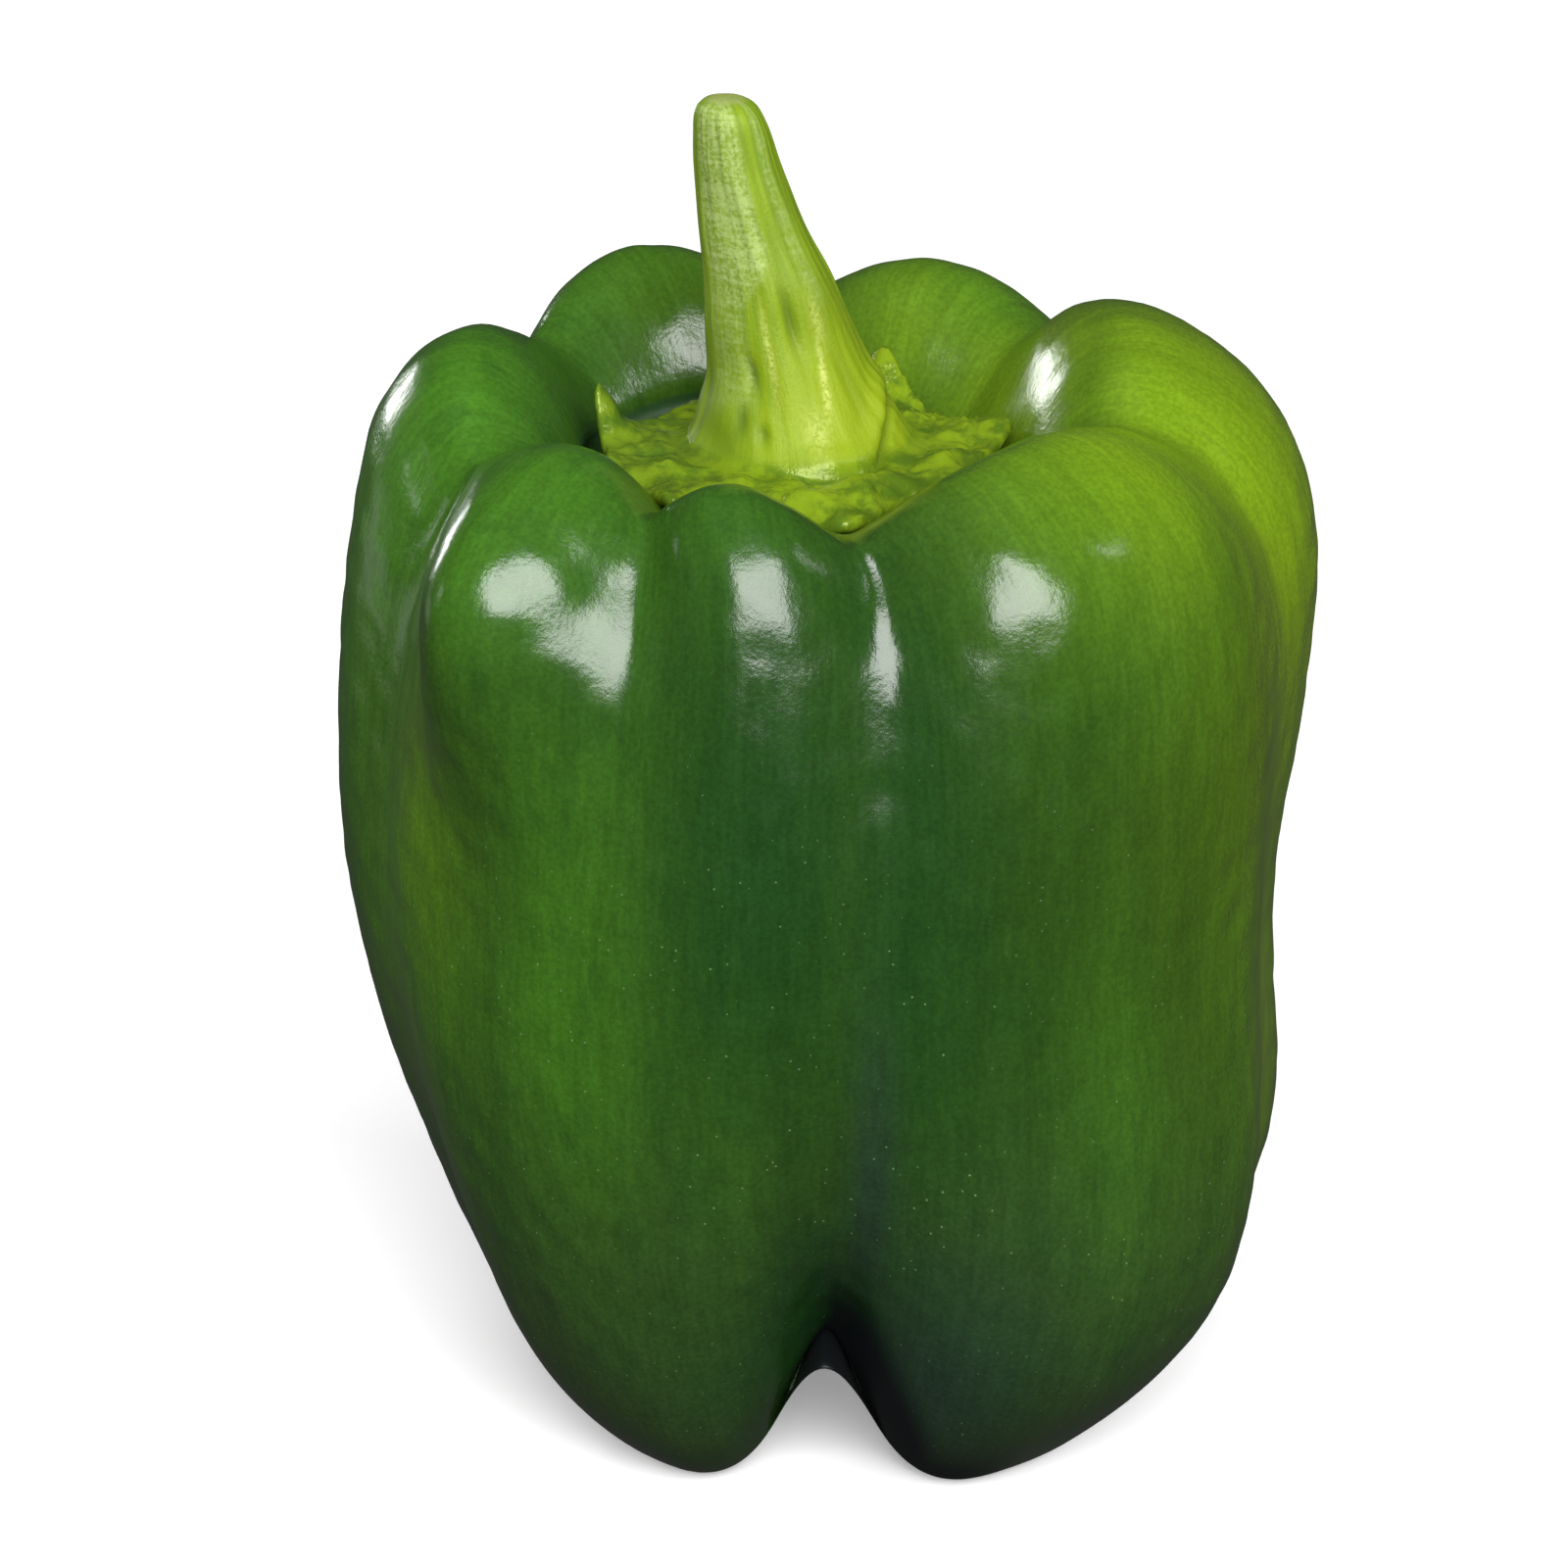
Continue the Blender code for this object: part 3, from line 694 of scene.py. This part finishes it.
on_calyx = ramp(past_foot, 0.6 * MM, 2.0 * MM) * (1 - 0.5 * ramp(past_foot, 6 * MM, 9 * MM))
lobe_middles = np.clip(calyx_figure(stem_directions, 1, 0.8) / (4 * MM), 0.25, 1)[None, :]
pillows = PILLOW_HEIGHT * lobe_middles * hump(past_foot, 3.6 * MM, 2.2 * MM)
lumps = LUMP_HEIGHT * ripples(stem_top, 5.0 * MM, waves=30, seed=21)
lumps = lumps + KNOB_HEIGHT * ripples(stem_top, 1.8 * MM, waves=40, seed=23)
lumps = lumps * on_calyx + pillows
wart_field = np.clip(ripples(stem_top, 1.3 * MM, waves=40, seed=22), 0, 1.8) ** 2
warts = WART_HEIGHT * wart_field * on_calyx * hump(turn_between(stem_turn, WARTS_MIDDLE), 0, 30)

stem_height_added = fibres + sway - dents - crease + collar + lumps + warts
stem_top = stem_top + normals_of(stem_top) * stem_height_added[..., None]
lowest, highest = stem_height_added.min(), stem_height_added.max()
print("added from", round(lowest / MM, 2), "to", round(highest / MM, 2), "mm")

# %% Close the calyx underneath and build it
flat_rows = int((past_foot[:, 0] > 0).sum())
flat = stem_top[-flat_rows:].copy()
floor = hollow_heights(stem_directions, flat) + CLEARANCE
flat[..., 2] = np.maximum(flat[..., 2], floor + 0.6 * CALYX_THICKNESS)
under = flat.copy()
under[..., 2] = np.maximum(under[..., 2] - CALYX_THICKNESS, floor)
edge = (flat[-1:] + under[-1:]) / 2
base_z = SEAT_Z - SOLE_FLAT + CLEARANCE
base = [ring(stem_directions, foot_x, BASE_RADIUS * share, base_z + rise * MM)
        for share, rise in ((1.0, 3.0), (0.97, 0.4), (0.9, 0.0), (0.45, 0.0), (0.0, 0.0))]
stem_rings = np.concatenate([stem_top[:-flat_rows], flat[:-1], edge, under[-2::-1], base])
stem = closed_surface("pepper_stem", stem_rings)
print("pepper_stem:", sum(len(p.vertices) - 2 for p in stem.data.polygons), "triangles")

# %% [markdown]
# ## Where the stem changes colour
#
# The widest face of the stem is dusted pale and crossed by fine lines, one rib carries a thin pale
# line, and the foot is the yellowest part. A highlight is painted on the front of the foot, and shade
# is painted in: the dents and the fold's crease are darker, and the calyx is painted a deeper green on
# its shaded left side.

# %% Carry a field underneath
def with_underside(field):
    """A field of the top rows, carried round the edge and underneath, where it hardly shows."""
    grid = field + 0 * (past_foot + stem_turn)
    flat_part = grid[-flat_rows:]
    base_part = np.repeat(flat_part[:1], len(base), axis=0)
    return np.concatenate([grid, flat_part[-2::-1], base_part])


assert len(with_underside(stem_heights)) == len(stem_rings)
print("underneath,", len(stem_rings) - len(stem_heights), "more rings")

# %% Lay out the stem's fields
FACET_LEFT, FACET_RIGHT, FACET_WIDENS_BY = 199.0, 243.0, 38.0
facet_right = FACET_RIGHT + FACET_WIDENS_BY * ramp(stem_heights, 105 * MM, 111 * MM)
facet = ramp(turn_between(stem_turn, FACET_LEFT), 0, 16)
facet = facet * (1 - ramp(turn_between(stem_turn, facet_right), -6, 9))
dusty = facet * ramp(stem_heights, 95.5 * MM, 99 * MM)
dusty = dusty * (0.45 + 0.55 * ramp(stem_heights, 104 * MM, 110 * MM))
pale_stripe = 0.55 * hump(turn_between(stem_turn, 316.0), 0, 9) * ramp(stem_heights, 104 * MM, 109 * MM)
dusty = np.maximum(dusty, pale_stripe) * on_stem

rib_turn = 297.5 + 1.9 * (stem_heights / MM - 99.3)
# The last mark is a painted highlight on the front of the foot. The others are pale lines and a pale spot.
PALE_MARKS_AND_HIGHLIGHT = (
    # direction  height  wide  high  amount
    (rib_turn,   99.5,   3.0,  4.0,  1.0),   # along a rib, which leans
    (262.0,      102.2,  3.0,  3.6,  0.8),   # a short line to its left
    (308.0,      104.5,  6.0,  2.0,  0.6),   # a spot above it
    (283.0,      95.3,   7.0,  2.0,  0.6),   # a spot at the foot
)
pale_line_and_highlight = np.maximum.reduce([
    amount * hump(turn_between(stem_turn, direction), 0, wide) * hump(stem_heights, z * MM, high * MM)
    for direction, z, wide, high, amount in PALE_MARKS_AND_HIGHLIGHT
]) * on_stem

up_stem = (stem_heights - 92 * MM) / (32 * MM)
warm_foot = hump(turn_between(stem_turn, 310.0), 0, 60) * hump(up_stem, 0.14, 0.26) * on_stem
shaded = 0.45 * (1 - on_stem) * hump(turn_between(stem_turn, 190.0), 0, 40)
# Painted shade: the dents and the fold's crease are painted darker.
sunken_shade = np.clip(dents / (0.5 * MM) + crease / (1.2 * MM), 0, 1)
cut_end = 1 - ramp(stem_places[:, None], 1.2 * MM, 2.2 * MM) + 0 * stem_turn
print("dust covers", round(100 * float((dusty > 0.3).mean())), "% of the grid")

# %% Store the stem's fields
store(stem, "grain", np.stack([with_underside(stem_grain[..., k]) for k in range(3)], axis=2))
stem_fields = {
    "dusty": dusty,
    "pale_line_and_highlight": pale_line_and_highlight,
    "warm_foot": warm_foot,
    "shaded": shaded,
    "sunken_shade": sunken_shade,
    "cut_end": cut_end,
    "on_calyx": 1 - on_stem,
}
for name, field in stem_fields.items():
    store(stem, name, with_underside(field))
print("attributes:", [a.name for a in stem.data.attributes])

# %% [markdown]
# ## Node helpers
#
# A material is a small graph. These helpers add a node with its settings and link values into it, so
# that each finish below reads as a list of steps.

# %% Short ways to add nodes
class Finish:
    """A material's graph: each method adds one node and gives back its output."""

    def __init__(self, name):
        self.material = bpy.data.materials.new(name)
        self.material.use_nodes = True
        self.tree = self.material.node_tree
        self.shader = self.tree.nodes["Principled BSDF"]

    def fix(self, values):
        """Give the shader's own sockets their values."""
        for name, value in values.items():
            self.shader.inputs[name].default_value = value

    def put(self, socket, value):
        """Link an output into a socket, or set the socket's own value."""
        if isinstance(value, bpy.types.NodeSocket):
            self.tree.links.new(value, socket)
        else:
            socket.default_value = value

    def node(self, kind, inputs, **settings):
        """A node of a kind, with values or outputs put into its inputs."""
        made = self.tree.nodes.new(kind)
        for key, value in settings.items():
            setattr(made, key, value)
        for key, value in inputs.items():
            self.put(made.inputs[key], value)
        return made

    def field(self, name, output="Fac"):
        """An attribute that was stored on the surface's points."""
        return self.node("ShaderNodeAttribute", {}, attribute_name=name).outputs[output]

    def maths(self, operation, a, b=0.5, c=0.5):
        """One step of arithmetic on up to three values."""
        return self.node("ShaderNodeMath", {0: a, 1: b, 2: c}, operation=operation).outputs[0]

    def blend(self, share, a, b, blend_type="MIX"):
        """Colour a where the share is 0, b where it is 1, and a mixture between."""
        inputs = {0: share, 6: a, 7: b}
        made = self.node("ShaderNodeMix", inputs, data_type="RGBA", blend_type=blend_type)
        return made.outputs[2]

    def between(self, value, start, end, low=0.0, high=1.0):
        """Low where the value is before start, high after end, and eased between them."""
        inputs = {"Value": value, "From Min": start, "From Max": end, "To Min": low, "To Max": high}
        return self.node("ShaderNodeMapRange", inputs, interpolation_type="SMOOTHSTEP").outputs[0]

    def noise(self, vector, size, detail=3.0, roughness=0.5):
        """Soft random values, with blobs about one size across."""
        inputs = {"Vector": vector, "Scale": 1 / size, "Detail": detail, "Roughness": roughness}
        return self.node("ShaderNodeTexNoise", inputs).outputs["Fac"]

    def stretched(self, vector, scale):
        """Places scaled along each axis: a pattern on them is stretched where the scale is small."""
        return self.node("ShaderNodeMapping", {"Vector": vector, "Scale": scale}).outputs[0]


print("finish helpers ready")

# %% [markdown]
# ## The waxy skin
#
# Under its wax the skin has a mottled green, drawn out into fine upright streaks, because the wall's
# cells stretch as the fruit grows. The grain attribute runs round the fruit at true size and along it
# at an eighth, so plain noise on it comes out as streaks eight times as long as they are wide.

# %% Mix the skin's greens
skin = Finish("waxy green skin")
DEEP_GREEN = (0.0165, 0.051, 0.0058, 1.0)
MID_GREEN = (0.0400, 0.126, 0.0085, 1.0)
YELLOW_GREEN = (0.1550, 0.265, 0.0070, 1.0)
COOL_GREEN_AND_SHADE = (0.0070, 0.036, 0.0065, 1.0)
FOOT_SHADE_GREEN = (0.0290, 0.062, 0.0155, 1.0)
BLUISH_SHADE_GREEN = (0.0150, 0.032, 0.0190, 1.0)
FOLD_SHADE_BLACK = (0.0006, 0.0020, 0.0030, 1.0)

grain = skin.field("grain", "Vector")
blotches = skin.noise(grain, 9 * MM, 2.0)
streaks = skin.noise(grain, 2.4 * MM, 4.0, 0.6)
threads = skin.noise(grain, 0.6 * MM, 2.0)
object_place = skin.node("ShaderNodeTexCoord", {}).outputs["Object"]
specks = skin.noise(object_place, 0.45 * MM, 2.0, 0.6)

wander = skin.maths("MULTIPLY_ADD", blotches, 0.4, -0.20)
green = skin.blend(skin.maths("ADD", skin.field("mid_green"), wander), DEEP_GREEN, MID_GREEN)
# Painted shade: darker towards the feet, and cool deep green in the grooves and between the feet.
green = skin.blend(skin.maths("ADD", skin.field("foot_shade"), wander), green, FOOT_SHADE_GREEN)
green = skin.blend(skin.field("cool_deep_and_shade"), green, COOL_GREEN_AND_SHADE)
mottle = skin.noise(skin.stretched(object_place, (1.0, 1.0, 0.5)), 4 * MM, 4.0, 0.6)
green = skin.blend(skin.between(mottle, 0.48, 0.66, 0.0, 0.24), green, COOL_GREEN_AND_SHADE)
# Part of this yellow-green is painted light on the flanks.
yellow_and_painted_light_share = skin.maths("MULTIPLY", skin.field("yellowing_and_painted_light"),
                          skin.between(blotches, 0.3, 0.6, 0.85, 1.05))
green = skin.blend(yellow_and_painted_light_share, green, YELLOW_GREEN)
# Painted shade: bluish dark on the right foot.
green = skin.blend(skin.field("bluish_shade"), green, BLUISH_SHADE_GREEN)
way_down = skin.field("way")
# Painted shade: the wall behind the calyx on the left is painted a cool dark green, and made rougher in
# the gloss below.
shade_behind_calyx = skin.maths("MULTIPLY", skin.between(way_down, -0.375, -0.362, 1.0, 0.0),
                          skin.field("back_left"))
green = skin.blend(skin.maths("MULTIPLY", shade_behind_calyx, 0.8), green, COOL_GREEN_AND_SHADE)
print("greens mixed from", len(skin.tree.nodes), "nodes")

# %% Streak and fleck the skin
streak_light = skin.between(streaks, 0.3, 0.7, 0.95, 1.06)
thread_light = skin.between(threads, 0.3, 0.7, 0.94, 1.06)
speck_light = skin.between(specks, 0.3, 0.7, 0.88, 1.12)
light = skin.maths("MULTIPLY", skin.maths("MULTIPLY", streak_light, thread_light), speck_light)
light_colour = skin.node("ShaderNodeCombineColor", {0: light, 1: light, 2: light}).outputs[0]
green = skin.blend(1.0, green, light_colour, "MULTIPLY")

FLECK_SPACING = 1.1 * MM
FLECK_COLOUR = (0.13, 0.21, 0.09, 1.0)
cells = skin.node("ShaderNodeTexVoronoi", {"Vector": object_place, "Scale": 1 / FLECK_SPACING})
near_middle = skin.between(cells.outputs["Distance"], 0.05, 0.125, 1.0, 0.0)
chosen = skin.node("ShaderNodeSeparateColor", {0: cells.outputs["Color"]}).outputs[0]
low_wall = skin.between(way_down, 0.10, 0.40)
drifts = skin.between(skin.noise(object_place, 11 * MM, 2.0), 0.40, 0.60, 0.25, 0.85)
flecks = skin.maths("MULTIPLY", near_middle, skin.maths("GREATER_THAN", chosen, 0.35))
flecks = skin.maths("MULTIPLY", flecks, skin.maths("MULTIPLY", low_wall, drifts))
green = skin.blend(flecks, green, FLECK_COLOUR)
# Painted shade: near black on the inner side of the front right foot.
green = skin.blend(skin.field("fold_shade"), green, FOLD_SHADE_BLACK)
skin.put(skin.shader.inputs["Base Color"], green)
print("two in three cells of", round(FLECK_SPACING / MM, 1), "mm have a fleck")

# %% [markdown]
# ## The skin's gloss
#
# The wax makes the skin glossy, but not like glass: its cells break up the edge of each highlight into a
# fine mottle. A bump of a few hundredths of a millimetre does that, and the roughness varies a little
# with the streaks. A thin coat over it would be another way; one layer is enough here.

# %% Set the skin's gloss
pores = skin.noise(object_place, 0.6 * MM, 3.0, 0.6)
puckers = skin.noise(grain, 1.1 * MM, 3.0, 0.6)
relief = skin.maths("MULTIPLY_ADD", puckers, 0.6, pores)
bump = skin.node("ShaderNodeBump", {"Height": relief, "Strength": 0.14, "Distance": 0.25 * MM})
skin.put(skin.shader.inputs["Normal"], bump.outputs[0])
gloss = skin.between(streaks, 0.2, 0.8, 0.17, 0.24)
duller = skin.maths("MULTIPLY_ADD", skin.field("fold_shade"), 0.35, gloss)
skin.put(skin.shader.inputs["Roughness"], skin.maths("MULTIPLY_ADD", shade_behind_calyx, 0.30, duller))
skin.fix({"IOR": 1.45})
fruit.data.materials.append(skin.material)
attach(fruit, "root")
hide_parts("fruit")
print("skin:", len(skin.tree.nodes), "nodes")

# %% [markdown]
# ## The stem's fibrous green
#
# The stem is softer and juicier than it looks: light goes a little way into it, which a small share of
# subsurface scattering shows. Its colour is a bright yellow-green with upright fibres. The dusted face
# is a paler speckle over it, and the calyx is greener and glossier.

# %% Mix the stem's greens
stalk = Finish("ribbed stem and calyx")
STEM_GREEN = (0.155, 0.235, 0.0080, 1.0)
STEM_SHADE = (0.110, 0.185, 0.0080, 1.0)
STEM_YELLOW = (0.200, 0.270, 0.0040, 1.0)
STEM_DUST = (0.265, 0.345, 0.1100, 1.0)
PALE_LINE_AND_HIGHLIGHT = (0.420, 0.470, 0.1200, 1.0)
CALYX_GREEN = (0.060, 0.115, 0.0070, 1.0)
CALYX_SHADE = (0.040, 0.085, 0.0100, 1.0)
CUT_COLOUR = (0.260, 0.300, 0.0900, 1.0)

fibre_place = stalk.field("grain", "Vector")
stalk_place = stalk.node("ShaderNodeTexCoord", {}).outputs["Object"]
fibre = stalk.noise(fibre_place, 1.1 * MM, 4.0, 0.6)
grit = stalk.noise(stalk_place, 0.35 * MM, 2.0, 0.6)
soft = stalk.noise(stalk_place, 3.2 * MM, 4.0, 0.65)

colour = stalk.blend(stalk.between(fibre, 0.35, 0.65), STEM_SHADE, STEM_GREEN)
colour = stalk.blend(stalk.maths("MULTIPLY", stalk.field("warm_foot"), 0.85), colour, STEM_YELLOW)
calyx_green = stalk.blend(stalk.between(soft, 0.38, 0.60), CALYX_GREEN, STEM_GREEN)
calyx_share = stalk.maths("MULTIPLY", stalk.field("on_calyx"), 0.95)
colour = stalk.blend(calyx_share, colour, calyx_green)
# Painted shade: the calyx's shaded left side, then the dents and the crease.
colour = stalk.blend(stalk.maths("MULTIPLY", stalk.field("shaded"), 0.9), colour, CALYX_SHADE)
colour = stalk.blend(stalk.maths("MULTIPLY", stalk.field("sunken_shade"), 0.6), colour, CALYX_SHADE)
print("stem greens mixed from", len(stalk.tree.nodes), "nodes")

# %% Dust the stem's face and draw its pale line
LINE_SPACING = 0.55 * MM
cross_place = stalk.stretched(stalk_place, (0.12, 0.12, 1.0))
cross_lines = stalk.noise(cross_place, LINE_SPACING, 2.0, 0.6)
speckle = stalk.between(grit, 0.40, 0.62)
crossed = stalk.between(cross_lines, 0.45, 0.62)
dust_pattern = stalk.maths("MULTIPLY_ADD", speckle, 0.6, stalk.maths("MULTIPLY", crossed, 0.5))
dust = stalk.maths("MULTIPLY", stalk.field("dusty"), stalk.maths("ADD", dust_pattern, 0.18))
colour = stalk.blend(stalk.maths("MINIMUM", dust, 0.9), colour, STEM_DUST)
# The pale lines, with a painted highlight on the front of the foot.
line = stalk.maths("MULTIPLY", stalk.field("pale_line_and_highlight"), stalk.between(grit, 0.35, 0.6, 0.15, 0.9))
colour = stalk.blend(line, colour, PALE_LINE_AND_HIGHLIGHT)
colour = stalk.blend(stalk.maths("MULTIPLY", stalk.field("cut_end"), 0.7), colour, CUT_COLOUR)
stalk.put(stalk.shader.inputs["Base Color"], colour)
print("lines", LINE_SPACING / MM, "mm apart")

# %% Set the stem's gloss and depth
ridged = stalk.maths("MULTIPLY_ADD", fibre, 1.2, stalk.maths("MULTIPLY", grit, 0.5))
stalk_bump = stalk.node("ShaderNodeBump", {"Height": ridged, "Strength": 0.35, "Distance": 0.3 * MM})
stalk.put(stalk.shader.inputs["Normal"], stalk_bump.outputs[0])
stalk.put(stalk.shader.inputs["Roughness"],
          stalk.between(stalk.field("on_calyx"), 0.0, 0.6, 0.50, 0.17))
stalk.fix({
    "Specular IOR Level": 0.50,
    "Specular Tint": (0.90, 0.95, 0.45, 1.0),
    "Subsurface Weight": 0.15,
    "Subsurface Radius": (1.0, 0.9, 0.2),
    "Subsurface Scale": 1.2 * MM,
    "IOR": 1.42,
})
stem.data.materials.append(stalk.material)
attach(stem, "root")
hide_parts("stem_and_calyx")
print("stem:", len(stalk.tree.nodes), "nodes")

# %% [markdown]
# ## Floor and light
#
# The pepper stands on a plain white floor. A glossy dark skin mirrors everything round it, and a white
# floor would veil it in grey, so the floor is kept out of reflections, as a photographer does with black
# card below the frame. Soft boxes do the rest: the large one at the front gives the broad highlights, and
# a low one at the back left gives the glints, with two dim cards for the pale streaks beside them. The
# one overhead and the fills at the sides only brighten: they aren't mirrored, so the crests stay clear.
# A small one at the front right shows in the hollow's back wall, and a black card keeps it off the front
# lobes, where it would add a second spot to each highlight. The paper glows a little, like a light table.

# %% Lay the floor
def flat_sheet(name, corners):
    """An object of one face with four corners."""
    mesh = bpy.data.meshes.new(name)
    mesh.from_pydata(corners, [], [(0, 1, 2, 3)])
    made = bpy.data.objects.new(name, mesh)
    bpy.context.scene.collection.objects.link(made)
    return made


FLOOR_HALF = 3.0
PAPER_SHADE = (0.86, 0.86, 0.86, 1.0)
PAPER_WHITE = (0.90, 0.90, 0.895, 1.0)
PAPER_CLOUD = 0.4
ground = flat_sheet("floor", [(-FLOOR_HALF, -FLOOR_HALF, 0), (FLOOR_HALF, -FLOOR_HALF, 0),
                              (FLOOR_HALF, FLOOR_HALF, 0), (-FLOOR_HALF, FLOOR_HALF, 0)])
paper = Finish("white paper")
paper_place = paper.node("ShaderNodeTexCoord", {}).outputs["Object"]
paper_tone = paper.noise(paper_place, PAPER_CLOUD, 2.0)
paper.put(paper.shader.inputs["Base Color"], paper.blend(paper_tone, PAPER_SHADE, PAPER_WHITE))
paper.fix({"Roughness": 0.9, "Emission Color": (1.0, 1.0, 1.0, 1.0), "Emission Strength": 0.25})
ground.data.materials.append(paper.material)
ground.visible_glossy = False
ground.visible_diffuse = False
print("floor", 2 * FLOOR_HALF, "m wide")

# %% Hang the soft boxes
LIGHT_TARGET = Vector((0.0, 0.0, 0.08))
SOFT_BOXES = (
    # name          direction  elevation  away  width  height  power
    ("front",       279.0,     30.0,      1.0,  0.74,  0.60,   19.6),
    ("front right", 334.0,     34.0,      1.0,  0.30,  0.30,   4.1),
    ("back left",   128.0,     5.5,       1.0,  0.21,  0.21,   2.0),
    ("left card",   172.0,     12.0,      0.5,  0.07,  0.06,   0.05),
    ("low card",    152.0,     -7.0,      0.35, 0.12,  0.07,   0.015),
    ("overhead",    190.0,     75.0,      1.2,  1.00,  1.00,   6.9),
    ("left fill",   205.0,     15.0,      1.0,  0.50,  0.50,   2.2),
    ("right fill",  345.0,     15.0,      1.0,  0.50,  0.50,   1.0),
)
MIRRORED = ("front", "front right", "back left", "left card", "low card")
for name, direction, elevation, away, width, height, power in SOFT_BOXES:
    box = bpy.data.lights.new(name, "AREA")
    box.shape = "RECTANGLE"
    box.size, box.size_y = width, height
    box.energy = power
    held = bpy.data.objects.new(name, box)
    held.location = LIGHT_TARGET + away * towards(direction, elevation)
    held.rotation_mode = "QUATERNION"
    held.rotation_quaternion = (LIGHT_TARGET - held.location).to_track_quat("-Z", "Y")
    held.visible_glossy = name in MIRRORED
    bpy.context.scene.collection.objects.link(held)
    print(name, "light:", power, "W over", width, "x", height, "m")

# %% Shade the front lobes from the front right light
SHADED_SPOT = Vector((0.021, -0.035, 0.088))
CARD_AWAY = 0.12
CARD_TILT_COSINE, CARD_TILT_SINE = 0.85, 0.53
CARD_LEFT, CARD_RIGHT, CARD_LOW, CARD_HIGH = (edge * MM for edge in (-50, 22, -45, 65))
lamp_row = next(row for row in SOFT_BOXES if row[0] == "front right")
lamp_way = towards(*lamp_row[1:3])
level = Vector((0, 0, 1)).cross(lamp_way).normalized()
rising = lamp_way.cross(level)
across = CARD_TILT_COSINE * level + CARD_TILT_SINE * rising
along = CARD_TILT_COSINE * rising - CARD_TILT_SINE * level
card_middle = SHADED_SPOT + CARD_AWAY * lamp_way
card_corners = ((CARD_RIGHT, CARD_LOW), (CARD_RIGHT, CARD_HIGH),
                (CARD_LEFT, CARD_HIGH), (CARD_LEFT, CARD_LOW))
card_points = [tuple(card_middle + across * a + along * b) for a, b in card_corners]
black_card = flat_sheet("black card", card_points)
card_finish = Finish("black card")
card_finish.fix({"Base Color": (0.01, 0.01, 0.01, 1.0), "Roughness": 0.9})
black_card.data.materials.append(card_finish.material)
black_card.visible_camera = False
print("the card's middle, mm:", [round(1000 * x) for x in card_middle])

# %% Fill the room
ROOM_STRENGTH = 0.05
room = bpy.data.worlds.new("room")
room.use_nodes = True
glow = room.node_tree.nodes["Background"]
glow.inputs["Color"].default_value = (1.0, 1.0, 1.0, 1.0)
glow.inputs["Strength"].default_value = ROOM_STRENGTH
bpy.context.scene.world = room
bpy.context.scene.view_settings.view_transform = "Standard"
print("the room's own glow:", ROOM_STRENGTH)
